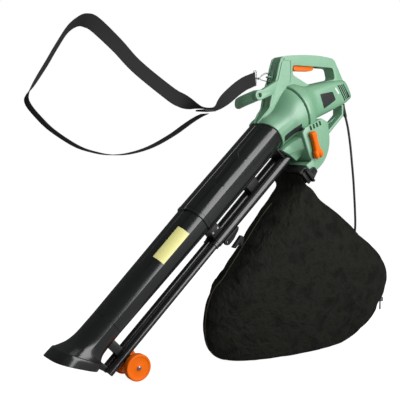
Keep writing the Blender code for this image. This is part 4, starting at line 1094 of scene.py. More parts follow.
@dataclass
class Housing(Assembly):
    """The two moulded shells of cone, drum, handle, outlet elbow, blower port and rear hoop."""

    rim: float = 0.083
    cone_end: float = 0.078
    drop: float = -0.0033
    collar: float = 0.335
    port_face: float = 0.34
    slot_half: float = 0.0023

    def cone(self) -> Form:
        """Return the cone: the tube's creased section at the collar, a circle at the drum."""
        t, m, r, d = TUBE, MOTOR, self.cone_end, self.drop
        stations = (
            (self.collar, 0.0496, -0.05, 0.0616, 0.0, t),
            (self.collar + 0.0012, 0.0504, -0.0504, 0.0624, 0.0, t),
            (0.352, 0.0506, -0.0506, 0.0626, 0.02, t),
            (0.385, 0.0455, -0.056, 0.068, 0.16, t),
            (-0.03, 0.056, -0.0765, 0.0755, 0.58, m),
            (-0.006, 0.0715, -0.0805, r, 1.0, m),
            (0.015, r + d, d - r, r, 1.0, m))
        rows = [[*slant.flat(along, top), *slant.flat(along, bottom), half, plain]
                for along, top, bottom, half, plain, slant in stations]
        rows = rows[:1] + smooth_numbers(rows[1:], 6)
        sweep_back, reach, rings_of_fade = 0.0068, 0.062, 8
        rings = []
        for k, row in enumerate(rows):
            lean = TUBE.axis() * (sweep_back * max(0.0, 1 - k / rings_of_fade))
            rings.append([p + lean * min(1.0, abs(p.y) / reach) ** 1.5 for p in creased_ring(row)])
        cone = Form().skin(rings).sound()
        cone.minus(SHAPE.bore(0.31, 0.366))
        groove = [(0.004, 0.0745), (0.004, 0.09), (0.0072, 0.09), (0.0072, 0.0745)]
        cone.minus(Form().turn(groove, MOTOR.at(0, 0, self.drop), MOTOR.axis(), 96))
        return cone.crisp(6)

    def drum(self) -> Form:
        """Return the fan drum and the motor's tail, with the slots in its sides."""
        r, d = self.rim, self.drop
        rows = [(along, r - cut + d, d + cut - r, r - cut, 2.0)
                for along, cut in ((0.0074, 0.0022), (0.008, 0.0009), (0.0096, 0), (0.018, 0))]
        rows += [(0.034, 0.0765, -0.077, 0.0785, 2.1), (0.05, 0.068, -0.064, 0.066, 2.3),
                 (0.07, 0.057, -0.051, 0.053, 2.8), (0.1, 0.051, -0.0496, 0.05, 3.1),
                 (0.165, 0.037, -0.047, 0.044, 4.6), (0.198, 0.0285, -0.046, 0.0415, 4.8),
                 (0.212, 0.025, -0.046, 0.037, 4.2), (0.224, 0.0215, -0.0455, 0.032, 3.8),
                 (0.24, 0.016, -0.044, 0.025, 3.4)]
        body = Form().loft([Station((s, top), (s, low), half, power, MOTOR)
                            for s, top, low, half, power in rows], 96, 5)
        rear = rounded([(0.086, 0.06), (0.087, 0.012), (0.1008, -0.0138), (0.1226, -0.0498),
                        (0.1401, -0.073), (0.1548, -0.0935), (0.153, -0.102),
                        (0.1275, -0.12), (0.1265, -0.2), (0.3, -0.2), (0.3, 0.06)], 0.006)
        body.minus(Form().prism(rear, -0.12, 0.12)).bevel(0.003, 3, 40)
        for side in Side:
            body.minus(*self.tail_slots(side.value * 0.042, 0.062))
        return body

    def tail_slots(self, across: float, deep: float) -> list[Form]:
        """Return the shapes of the four slots in one side of the tail.

        Args:
            across: The middle of their depth, across the machine.
            deep: Their depth.

        Returns:
            One closed shape for each slot.
        """
        shapes = []
        for i in range(4):
            high = MOTOR.at(0.1779 + 0.0075 * i, across, 0.0188 - 0.0016 * i)
            low = MOTOR.at(0.1899 + 0.0074 * i, across, -0.0345 + 0.0014 * i)
            way = low - high
            shapes.append(self.slot_cutter((high + low) / 2, math.atan2(way.x, way.z),
                                           way.length / 2, self.slot_half, deep))
        return shapes

    @staticmethod
    def slot_cutter(spot: Vector, lean: float, long: float, wide: float, deep: float) -> Form:
        """Return a cutter for one slot in a side wall.

        Args:
            spot: The slot's middle.
            lean: Its turn about Y from upright, in radians.
            long: Half its length.
            wide: Half its width.
            deep: How far it reaches across the machine.

        Returns:
            The cutter.
        """
        along = Vector((math.sin(lean), 0, math.cos(lean))) * long
        across = Vector((math.cos(lean), 0, -math.sin(lean))) * wide
        through = Vector((0, deep, 0))
        start = spot - through / 2
        return Form().slab([start + along + across, start + along - across,
                            start - along - across, start - along + across], through)

    def handle(self) -> Form:
        """Return the handle, with the hand opening, trigger slot, panel and groove."""
        outline = rounded([
            (-0.14, -0.155), (-0.157, -0.14), (-0.147, -0.09), (-0.133, -0.052),
            (-0.1215, 0.0), (-0.115, 0.0085), (-0.094, 0.0125), (-0.0367, 0.0188),
            (0.008, 0.0208), (0.03, 0.0208), (0.062, 0.0188), (0.08, 0.0168),
            (0.089, 0.009), (0.15, -0.088), (0.13, -0.115), (0.0, -0.16),
            (-0.1, -0.16)], 0.006)
        window = rounded([(-0.077, -0.0135), (-0.0765, -0.041), (-0.013, -0.067),
                          (0.09, -0.044), (0.08, -0.0105)], 0.01, 5)
        trigger_slot = box_outline(-0.067, 0.033, -0.022, 0.0095)
        panel = rounded([(-0.1135, -0.001), (-0.1205, -0.0432), (-0.119, -0.0788),
                         (-0.0864, -0.0667), (-0.0828, -0.0456), (-0.085, -0.001)], 0.004)
        line = [(-0.11, 0.005), (-0.119, -0.006), (-0.124, -0.023), (-0.1318, -0.0545),
                (-0.1438, -0.0885), (-0.152, -0.125), (-0.1556, -0.14)]
        groove = line + [(x + 0.0027, z - 0.0013) for x, z in reversed(line)]
        body = Form().prism(outline, -GRIP_HALF, GRIP_HALF)
        body.minus(Form().prism(window, -0.05, 0.05)).bevel(0.0042, 4, 30)
        body.minus(Form().prism(trigger_slot, -0.0115, 0.0115))
        for side in Side:
            edge = side.value * GRIP_HALF
            for shape, deep in ((panel, 0.0016), (groove, 0.0024)):
                body.minus(Form().prism(shape, edge - deep, edge + deep))
        return body

    def crest(self) -> Form:
        """Return the spine that carries the handle's front face down to the collar."""
        return Form().loft([
            Station((-0.144, -0.09), (-0.125, -0.096), 0.0203, 8.0),
            Station((-0.15, -0.115), (-0.133, -0.122), 0.0201, 8.0),
            Station((-0.158, -0.14), (-0.143, -0.152), 0.0197, 8.0),
            Station((-0.1745, -0.16), (-0.16, -0.173), 0.015, 7.0),
            Station((-0.1925, -0.1825), (-0.1805, -0.194), 0.008, 6.0)], 64, 5)

    def lip(self) -> Form:
        """Return the thin raised lips along both edges of the front face, down to the collar."""
        line = [(-0.112, 0.0175, 0.005), (-0.12, 0.0192, 0.0015), (-0.1232, 0.0195, -0.007),
                (-0.1285, 0.0195, -0.023), (-0.136, 0.0195, -0.0545),
                (-0.148, 0.0195, -0.0885), (-0.1562, 0.0192, -0.125),
                (-0.1606, 0.0182, -0.142), (-0.177, 0.0142, -0.1612),
                (-0.1932, 0.0082, -0.1824)]
        form = Form()
        for side in Side:
            path = even_path([(x, side.value * y, z) for x, y, z in line], 0.004)
            form.take(Form().sweep([Vector(p) for p in path], 0.0028, 14))
        return form

    def duct(self) -> Form:
        """Return the outlet elbow with its flat sides, vents and the bag's mouth."""
        elbow = arc((-0.08, -0.23), 0.098, 12, -60, 18)
        outline = [(-0.0827, -0.1952), (-0.0875, -0.2104), (-0.0681, -0.2541),
                   (-0.06, -0.274), (-0.05, -0.286), (-0.0726, -0.3004),
                   (-0.0402, -0.3344)] + elbow[::-1] + [(0.011, -0.176), (-0.015, -0.1652)]
        body = Form().prism(outline, -DUCT_HALF, DUCT_HALF).bevel(0.004, 4, 30)
        for i in range(4):
            spot = MOTOR.at(-0.0005 + 0.0125 * i, 0.0, -0.049)
            spot.y = -DUCT_HALF
            body.minus(self.slot_cutter(spot, -MOTOR.tilt, 0.0068, 0.004, 0.016))
        mouth = box_outline(0.325, 0.365, -0.1215, -0.1615)
        return body.minus(Form().prism(mouth, -0.0745, 0.0745, TUBE))

    def port(self) -> Form:
        """Return the blower port: flat sides that spread back to the elbow, and two bores."""
        rows = (
            (0.3275, 0.045, 0.0405, -0.049, -0.0745, -0.109),
            (0.3284, 0.0466, 0.0424, -0.048, -0.0747, -0.1102),
            (0.343, 0.049, 0.0436, -0.0484, -0.0785, -0.1115),
            (0.359, 0.056, 0.045, -0.049, -0.083, -0.1115),
            (0.378, 0.07, 0.05, -0.05, -0.087, -0.1095),
            (0.395, 0.078, 0.056, -0.051, -0.0905, -0.106),
            (0.425, 0.0785, 0.06, -0.054, -0.095, -0.104))
        slope, reach, bow = 0.375, 0.0505, 0.004
        rings = []
        for s, wide, low_wide, top, ridge, bottom in rows:
            side = [(0.0, top + 0.001), (wide * 0.5, top + 0.0008), (wide * 0.8, top - 0.0004),
                    (wide * 0.89, top - 0.003), (wide * 0.935, top - 0.0075),
                    (wide, ridge + 0.003), (wide - 0.001, ridge),
                    (wide - 0.0032, ridge - 0.0032), (low_wide, bottom + 0.006),
                    (low_wide - 0.006, bottom), (0.0, bottom)]
            fade = slope * max(0.0, 1 - (s - rows[0][0]) / reach)
            rings.append([TUBE.at(s + fade * min(-0.0495 - u, 0.048)
                                  + bow * (1 - abs(y) / wide) * (s < self.port_face), y, u)
                          for y, u in both_sides(side)])
        body = Form().skin(rings).sound()
        for side in Side:
            spot = TUBE.at(self.port_face, side.value * TWIN_SPREAD, TWIN_DROP)
            body.minus(Form().rod(0.017, spot, TUBE.axis(), (-0.012, 0.028), 48))
        return body.bevel(0.0008, 2, 50)

    def hoop(self) -> Form:
        """Return the flat rear hoop with its small cord hook."""
        outer = [(0.124, -0.11), (0.129, -0.126), (0.129, -0.152), (0.008, -0.269)]
        inner = [(0.004, -0.256), (0.1215, -0.148), (0.1215, -0.126), (0.115, -0.11)]
        body = Form().prism(outer + inner, -0.02, 0.02).bevel(0.002, 3)
        hook = [(0.064, -0.205), (0.056, -0.188), (0.064, -0.176), (0.074, -0.18),
                (0.07, -0.185), (0.065, -0.182), (0.062, -0.188), (0.07, -0.2)]
        return body.take(Form().prism(hook, -0.005, 0.005).bevel(0.001, 2))

    def catch(self) -> Form:
        """Return the catch that the bag's latch snaps over."""
        outline = box_outline(0.342, 0.352, -0.158, -0.136)
        return Form().prism(outline, -0.081, -0.076, TUBE).bevel(0.001, 2)

    def build(self) -> None:
        """Build the whole casing, split it at the seam, and add the screws and the black blocks in
        the tail slots, partly the motor's inner sleeve and partly painted shade.
        """
        whole = [self.cone(), self.drum(), self.handle(), self.crest(), self.lip(), self.duct(),
                 self.port(), self.hoop()]
        for side in Side:
            shell = Form()
            for part in whole:
                shell.take(part.copy().half(side))
            if side is Side.NEAR:
                shell.take(self.catch())
            self.add(shell.done(f"casing_{side.word()}", 28), GREEN, f"housing_{side.word()}")
        for part in whole:
            part.bm.free()
        # Black blocks inside the tail slots: the motor's dark inner sleeve, which also stands in for
        # the slots' shade, so partly painted shade.
        guard_and_slot_shade = Form()
        for side in Side:
            for bar in self.tail_slots(side.value * 0.03, 0.02):
                guard_and_slot_shade.take(bar)
        self.add(guard_and_slot_shade.done("tail_guard"), DULL_BLACK)
        lift = 0.0002
        points = Form()
        for x, z in ((-0.095, -0.01), (0.08, -0.008), (0.13, -0.1), (-0.105, -0.11)):
            points.bm.verts.new((x, GRIP_HALF + lift, z))
        for x, z in ((0.0, -0.2), (-0.05, -0.29)):
            points.bm.verts.new((x, DUCT_HALF + lift, z))
        self.add(Patterns.screws().grow("casing_screws", points, STEEL, Radius=0.0034,
                                        Turn=(-math.pi / 2, 0.0, 0.0)), STEEL)


@dataclass(frozen=True)
class PhotoCamera:
    """The camera, at the place that the photograph was taken from."""

    place: Triple = (-1.459, -1.6304, -0.2647)
    ahead: Triple = (0.55072, 0.83205, -0.06627)
    up: Triple = (0.02988, 0.05969, 0.99777)
    lens: float = 65.2
    sensor: float = 36.0

    def build(self) -> bpy.types.Object:
        """Make the camera the scene's own and return it."""
        data = bpy.data.cameras.new("photo_camera")
        data.lens = self.lens
        data.sensor_width = self.sensor
        data.clip_start, data.clip_end = 0.05, 60.0
        made = placed("photo_camera", data)
        front = Vector(self.ahead).normalized()
        side = front.cross(Vector(self.up)).normalized()
        turn = Matrix((side, side.cross(front), -front)).transposed().to_4x4()
        made.matrix_world = Matrix.Translation(self.place) @ turn
        bpy.context.scene.camera = made
        return made


@dataclass(frozen=True)
class SoftLight:
    """A rectangular soft light that points at a spot."""

    name: str
    place: Triple
    target: Triple
    size: Pair
    power: float
    mirrored: bool = True

    def build(self) -> bpy.types.Object:
        """Make the light and return it."""
        data = bpy.data.lights.new(self.name, "AREA")
        data.shape = "RECTANGLE"
        data.size, data.size_y = self.size
        data.energy = self.power
        made = placed(self.name, data)
        made.location = self.place
        made.visible_glossy = self.mirrored
        aim = Vector(self.target) - Vector(self.place)
        made.rotation_euler = aim.to_track_quat("-Z", "Y").to_euler()
        return made


@dataclass
class Studio:
    """A pale floor, a white surround and soft lights."""

    floor: float = -0.8476
    reach: float = 9.0
    ambient: float = 0.2
    mirrored: float = 0.08
    tone: float = 0.32
    glow: float = 0.94
    floor_mirrored: float = 0.06
    lights: tuple[SoftLight, ...] = (
        SoftLight("key", (0.35, -2.15, 0.55), (-0.05, 0.0, -0.12), (2.35, 2.35), 82.0),
        SoftLight("top", (0.2, 0.1, 2.2), (-0.1, 0.0, -0.4), (1.6, 1.4), 6.0),
        SoftLight("rear", (-0.9, 2.4, 0.4), (-0.2, 0.0, -0.3), (1.6, 1.4), 16.0, False))

    def build(self) -> None:
        """Make the floor, the surround and the lights."""
        bpy.context.scene.view_settings.view_transform = "Standard"
        form = Form()
        corners = [form.bm.verts.new((x, y, self.floor))
                   for x, y in box_outline(-self.reach, self.reach, -self.reach, self.reach)]
        form.bm.faces.new(corners)
        floor = form.done("floor")
        floor.data.materials.append(self.pale())
        self.surround()
        for light in self.lights:
            light.build()

    @staticmethod
    def mix(g: Graph, factor: object, first: object, second: object) -> Socket:
        """Mix two shaders by a factor and return the shader."""
        values = {"Fac": factor, "Shader#0": first, "Shader#1": second}
        return g.node("ShaderNodeMixShader", values).outputs[0]

    def pale(self) -> bpy.types.Material:
        """Return the floor's skin: white to the camera, with only the soft contact shadow left."""
        skin = bpy.data.materials.new("pale_floor")
        skin.use_nodes = True
        g = Graph(skin.node_tree)
        shader = skin.node_tree.nodes["Principled BSDF"]
        for name, value in (("Base Color", opaque((self.tone,) * 3)), ("Roughness", 0.9),
                            ("Specular IOR Level", 0.0)):
            g.feed(shader.inputs[name], value)
        path = g.node("ShaderNodeLightPath").outputs
        other = g.math("MAXIMUM", path["Is Glossy Ray"], path["Is Transmission Ray"])
        seen = g.math("MAXIMUM", path["Is Camera Ray"], g.times(other, self.floor_mirrored))
        glow = g.node("ShaderNodeEmission", {"Color": opaque((1.0,) * 3), "Strength": self.glow})
        lit = g.node("ShaderNodeAddShader", {"Shader#0": shader.outputs[0],
                                             "Shader#1": glow.outputs[0]})
        end = skin.node_tree.nodes["Material Output"]
        g.feed(end.inputs["Surface"], self.mix(g, seen, shader.outputs[0], lit.outputs[0]))
        return skin

    def surround(self) -> None:
        """Make a world that is white to the camera and softer to the object."""
        world = bpy.data.worlds.new("surround")
        world.use_nodes = True
        bpy.context.scene.world = world
        g = Graph(world.node_tree)
        world.node_tree.nodes.clear()
        path = g.node("ShaderNodeLightPath").outputs
        seen = g.math("MAXIMUM", path["Is Camera Ray"], path["Is Transmission Ray"])
        white, soft, dim = [
            g.node("ShaderNodeBackground", {"Color": opaque(colour), "Strength": strength}).outputs[0]
            for colour, strength in (((1.0, 1.0, 1.0), 1.0), ((0.97, 0.99, 1.0), self.ambient),
                                     ((0.95, 0.97, 1.0), self.mirrored))]
        hidden = self.mix(g, path["Is Glossy Ray"], soft, dim)
        g.node("ShaderNodeOutputWorld", {"Surface": self.mix(g, seen, hidden, white)})


@dataclass
class PowerLead(Assembly):
    """The short lead with its strain relief and plug, which hangs behind the bag."""

    radius: float = 0.0035
    pin_spread: float = 0.0095
    exit: Triple = (0.14, 0.0, -0.116)
    lean: Triple = (0.40674, 0.0, -0.91355)
    route: tuple[Triple, ...] = (
        (0.1533, 0.0, -0.1459), (0.16, 0.0005, -0.161), (0.17, 0.001, -0.19),
        (0.182, 0.002, -0.24), (0.193, 0.004, -0.296), (0.205, 0.008, -0.35),
        (0.215, 0.013, -0.395), (0.225, 0.018, -0.445), (0.234, 0.024, -0.5),
        (0.24, 0.036, -0.545), (0.243, 0.058, -0.59), (0.243, 0.08, -0.635),
        (0.242, 0.092, -0.67), (0.2415, 0.094, -0.688))

    def build(self) -> None:
        """Build the cord first, then what sits on its two ends."""
        path = [Vector(p) for p in even_path(self.route, 0.006)]
        curve = bpy.data.curves.new("lead", "CURVE")
        curve.dimensions = "3D"
        line = curve.splines.new("POLY")
        line.points.add(len(path) - 1)
        for point, spot in zip(line.points, path):
            point.co = (*spot, 1.0)
        curve.bevel_depth = self.radius
        curve.bevel_resolution = 6
        curve.use_fill_caps = True
        cord = self.add(placed("lead", curve), RUBBER, "power_cord")
        length = sum((b - a).length for a, b in zip(path, path[1:]))
        down = (path[-1] - path[-3]).normalized()
        pieces = self.plug(path[-1], down)
        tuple(path[0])
        self.relief()

    def plug(self, end: Vector, down: Vector) -> list[bpy.types.Object]:
        """Build the moulded plug and its two pins below the cord's end.

        Args:
            end: The cord's end.
            down: The way the plug points.

        Returns:
            The pieces.
        """
        shape = [(0.0003, 0), (0.0003, 0.0055), (0.015, 0.0075), (0.0168, 0.0095),
                 (0.0185, 0.0142), (0.023, 0.0158), (0.038, 0.0182), (0.048, 0.0185),
                 (0.0496, 0.018), (0.05, 0.017), (0.05, 0)]
        body = Form().turn(shape, end, down, 48)
        for i in range(5):
            start = 0.024 + 0.004 * i
            groove = box_outline(start, start + 0.0015, 0.022, 0.015)
            body.minus(Form().turn(groove, end, down, 48))
        pieces = [self.add(body.done("plug_shell"), RUBBER, "plug_body")]
        for side in Side:
            spot = end + Vector((0, 1, 0)) * side.value * self.pin_spread
            pin = Form().turn([(0.048, 0), (0.048, 0.0024), (0.068, 0.0024), (0.069, 0.0014),
                               (0.069, 0)], spot, down, 20)
            pieces.append(self.add(pin.done(f"contact_{side.word()}"), STEEL,
                                   f"plug_pin_{side.word()}"))
        return pieces

    def relief(self) -> None:
        """Build the segmented sleeve that holds the cord at the tail."""
        bore = self.radius + 0.0003
        shape = [(-0.018, bore), (-0.018, 0.0058), (0.0008, 0.0058), (0.0012, 0.0084),
                 (0.0058, 0.0084), (0.0062, 0.007)]
        for i in range(9):
            start = 0.0075 + 0.0036 * i
            thick = 0.0072 - 0.0018 * i / 8
            shape += [(start + step, thick - deep) for step, deep
                      in ((0, 0), (0.0002, 0.001), (0.0014, 0.001), (0.0016, 0))]
        shape += [(0.041, 0.0046), (0.041, bore)]
        sleeve = Form().turn(shape, Vector(self.exit), Vector(self.lean), 32)
        self.add(sleeve.done("lead_sleeve"), RUBBER, "strain_relief")


@dataclass(frozen=True)
class TubeShape:
    """The suction tube's cross-section: rounded above, with a flat on each side between creases."""

    ridge: float = 0.02
    corner: float = 3.4
    seat: Pair = (0.0468, 0.0583)

    def half(self, ridged: bool) -> list[Pair]:
        """Return one side's points from the top down, with the seam ridge if it has one."""
        if not ridged:
            return list(FACETS)
        return [(0.0, 1 + self.ridge), (0.018, 1 + self.ridge), (0.027, 1.0)] + list(FACETS[1:])

    def ring(self, top: Pair, bottom: Pair, half: float, square: float = 0.0,
             ridged: bool = False, grow: float = 0.0) -> Ring:
        """Return a ring between a top and bottom point of the tube frame.

        Args:
            top: Along and up of the highest point.
            bottom: Along and up of the lowest point.
            half: Half the width.
            square: How far it goes over to a rounded rectangle, from 0 to 1.
            ridged: Whether it has the seam ridge.
            grow: Added to every half size.

        Returns:
            The points.
        """
        side, power = self.half(ridged), self.corner
        lean = Vector(top) - Vector(bottom)
        long = lean.normalized() * grow
        high, low = Vector(top) + long, Vector(bottom) - long
        points = []
        for across, up in both_sides(side):
            reach = (abs(across) ** power + abs(up) ** power) ** (1 / power)
            a = across * (1 - square) + across / reach * square
            b = up * (1 - square) + up / reach * square
            spot = (high + low) / 2 + (high - low) / 2 * b
            points.append(TUBE.at(spot.x, (half + grow) * a, spot.y))
        return points

    def at(self, along: float, half_up: float, half_across: float, place: float,
           lift: float = 0.0) -> Vector:
        """Return a point on the near side's skin.

        Args:
            along: Distance along the tube.
            half_up: Half the section's height there.
            half_across: Half its width.
            place: From 0 at the top to 16 at the bottom.
            lift: Distance off the skin.

        Returns:
            The point.
        """
        i = min(int(place), len(FACETS) - 2)
        t = place - i
        a, b = FACETS[i], FACETS[i + 1]
        y = -(a[0] + (b[0] - a[0]) * t) * half_across
        m = (a[1] + (b[1] - a[1]) * t) * half_up
        out = Vector((y / half_across ** 2, m / half_up ** 2)).normalized() * lift
        return TUBE.at(along, y + out.x, m + out.y)

    def bore(self, low: float, high: float) -> Form:
        """Return a cutter that makes a seat for the upper tube between two places along."""
        up, across = self.seat
        rings = [self.ring((s, up), (s, -up), across) for s in (low, high)]
        return Form().skin(rings).sound()


SHAPE = TubeShape()


@dataclass
class SuctionTubes(Assembly):
    """The two halves of the suction tube, with their joint ring, recess and blank film."""

    wall: float = 0.0025
    upper: Pair = (0.0465, 0.058)
    lower: Pair = (0.043, 0.0548)
    tip: Pair = (0.0375, 0.0497)
    lower_span: Pair = (-0.357, -0.001)
    bead: float = 0.0008
    neck: float = 0.0006
    slim: float = 0.0022
    recess: float = 0.0022

    @staticmethod
    def tube(outer: Sequence[Triple], wall: float, ridged: bool) -> Form:
        """Return a tube through rings of (along, half up, half across)."""
        rings = [SHAPE.ring((s, up - thin), (s, thin - up), half - thin, ridged=ridged)
                 for thin in (0.0, wall) for s, up, half in outer]
        count = len(outer)
        return Form().skin(rings[:count] + rings[:count - 1:-1], caps=False, loop=True).sound()

    def scallop(self, low: float, high: float) -> Form:
        """Return a cutter for one step of the recess, deep at its low end and shallow at its high.

        Args:
            low: Where it starts along the tube.
            high: Where it ends.

        Returns:
            The cutter.
        """
        first, reach, bow, shallow, clear, steps = 1.6, 4.5, 0.02, 0.0002, 0.004, 8
        places = [first + reach * j / steps for j in range(steps + 1)]
        rings = []
        for k in range(steps + 1):
            t = k / steps
            depth = self.recess * (1 - t) + shallow * t
            line = [(low + (high - low) * t
                     + bow * ((p - first - reach / 2) / (reach / 2)) ** 2 * (1 - t), p)
                    for p in places]
            rings.append([SHAPE.at(along, *self.upper, p, -depth) for along, p in line]
                         + [SHAPE.at(along, *self.upper, p, clear) for along, p in line[::-1]])
        return Form().skin(rings).sound()

    def build(self) -> None:
        """Build both tubes, the joint's tab and the film."""
        rows = [(s, self.upper[0] + out, self.upper[1] + out) for s, out in (
            (0.0, 0.0), (0.0006, self.bead), (0.008, self.bead), (0.0086, -self.neck),
            (0.0104, -self.neck), (0.0108, 0.0), (0.364, 0.0))]
        body = self.tube(rows, self.wall, True)
        body.minus(self.scallop(0.205, 0.326), self.scallop(0.1, 0.198))
        tab = [(-0.003, 0.0455), (0.01, 0.0455), (0.0088, 0.05), (-0.0018, 0.05)]
        body.take(Form().prism(tab, -0.0075, 0.0075, TUBE).bevel(0.0008, 2))
        self.add(body.done("suction_tube_upper", 16), BLACK, "upper_suction_tube")
        (tip_up, tip_across), (up, across) = self.tip, self.lower
        slim = self.slim
        rows = [(-0.383, tip_up - slim, tip_across - slim),
                (-0.357, tip_up - slim, tip_across - slim),
                (-0.3567, tip_up, tip_across), (-0.001, up, across), (0.03, up, across)]
        body = self.tube(rows, 0.002, False)
        ridge = [(-0.356, tip_up - 0.0006), (-0.001, up - 0.0006),
                 (-0.001, up + 0.001), (-0.356, tip_up + 0.001)]
        body.take(Form().prism(ridge, -0.0012, 0.0012, TUBE))
        self.add(body.done("suction_tube_lower", 16), BLACK, "lower_suction_tube")
        self.film()

    def film(self) -> None:
        """Lay the blank yellow film on the lower tube's near side."""
        start, end = self.lower_span
        low, long, first, reach, under, over = -0.16, 0.106, 2.55, 4.35, 0.0001, 0.0004
        columns, lines = 8, 14
        places = [first + reach * j / lines for j in range(lines + 1)]
        rings = []
        for k in range(columns + 1):
            s = low + long * k / columns
            t = (s - start) / (end - start)
            size = [a + (b - a) * t for a, b in zip(self.tip, self.lower)]
            rings.append([SHAPE.at(s, *size, p, under) for p in places]
                         + [SHAPE.at(s, *size, p, over) for p in reversed(places)])
        self.add(Form().skin(rings).sound().done("tube_film"), YELLOW_FILM)


@dataclass
class Nozzle(Assembly):
    """The flared mouth piece with its lip, webs and axle block."""

    wall: float = 0.0022
    throat: tuple[tuple[float, ...], ...] = (
        (-0.3573, 0.0375, -0.3573, -0.0375, 0.0497, 0.0),
        (-0.39, 0.0375, -0.388, -0.0378, 0.05, 0.0),
        (-0.425, 0.0378, -0.411, -0.038, 0.0505, 0.15),
        (-0.452, 0.0425, -0.425, -0.039, 0.052, 0.35),
        (-0.47, 0.05, -0.435, -0.042, 0.055, 0.6),
        (-0.484, 0.0575, -0.44, -0.0455, 0.0585, 0.8))
    lip: tuple[tuple[float, ...], ...] = (
        (-0.4862, 0.0597, -0.442, -0.0477, 0.0612, 0.9),
        (-0.495, 0.06, -0.448, -0.049, 0.062, 0.95),
        (-0.518, 0.06, -0.4615, -0.05, 0.063, 1.0))
    webs: tuple[tuple[tuple[Pair, ...], float], ...] = (
        (((-0.458, -0.047), (-0.4385, -0.0405), (-0.432, -0.098), (-0.444, -0.098)), 0.0085),
        (((-0.399, -0.0372), (-0.375, -0.0368), (-0.375, -0.101), (-0.399, -0.101)), 0.0085),
        (((-0.401, -0.1005), (-0.375, -0.1005), (-0.379, -0.137), (-0.397, -0.137)), 0.0255))

    def build(self) -> None:
        """Build the nozzle as one moulding."""
        rows = smooth_numbers(self.throat, 6) + list(self.lip)
        outer, inner = [[SHAPE.ring(r[:2], r[2:4], r[4], r[5], grow=-thin) for r in rows]
                        for thin in (0.0, self.wall)]
        body = Form().skin(outer + inner[::-1], caps=False, loop=True).sound()
        body.bevel(0.0006, 2, 40)
        for outline, half in self.webs:
            web = Form().prism(outline, -half, half, TUBE).bevel(0.0018, 3)
            for side in Side:
                web.minus(twin_rod(0.0098, side, (-0.48, -0.35)))
            body.take(web)
        self.add(body.done("mouth_piece", 20), BLACK, "nozzle")


def twin_rod(radius: float, side: Side, span: Pair) -> Form:
    """Return a rod where one of the twin blower tubes runs, from one place along to another."""
    low, high = span
    centre = TUBE.at(low, side.value * TWIN_SPREAD, TWIN_DROP)
    return Form().rod(radius, centre, TUBE.axis(), (0, high - low), 40)


@dataclass
class BlowerTubes(Assembly):
    """The twin blower tubes, which taper by rule from the port to the nozzle."""

    wall: float = 0.885
    length: float = 0.365
    low_profile: tuple[Pair, ...] = (
        (-0.446, 0.0077), (-0.446, 0.0092), (-0.4457, 0.0095), (-0.0088, 0.0095),
        (-0.0085, 0.0118), (-0.008, 0.0124), (-0.0045, 0.0124), (-0.0042, 0.0117),
        (-0.0022, 0.0117), (-0.0019, 0.0124), (0.0022, 0.0124), (0.0027, 0.0118),
        (0.0027, 0.0095), (0.025, 0.0095), (0.025, 0.0077))

    def build(self) -> None:
        """Build the upper and lower tube of each side."""
        rule = Patterns.taper()
        unit = [(0, self.wall), (0, 1.0), (0.5, 1.0), (1.0, 1.0), (1.0, self.wall),
                (0.5, self.wall)]
        for side in Side:
            word = side.word()
            across = side.value * TWIN_SPREAD
            base = Form().turn(unit, Vector((0, 0, 0)), Vector((0, 0, 1)), 40)
            tube = rule.grow(f"blower_upper_{word}", base, BLACK, **{
                "Low Radius": 0.014, "High Radius": 0.0165, "Length": self.length,
                "Origin": tuple(TUBE.at(0.003, across, TWIN_DROP)),
                "Turn": (0.0, math.pi / 2 - TUBE.tilt, 0.0)})
            self.add(tube, BLACK, f"upper_blower_tube_{word}")
            low = Form().turn(self.low_profile, TUBE.at(0, across, TWIN_DROP), TUBE.axis(), 40)
            self.add(low.done(f"blower_lower_{word}"), BLACK, f"lower_blower_tube_{word}")


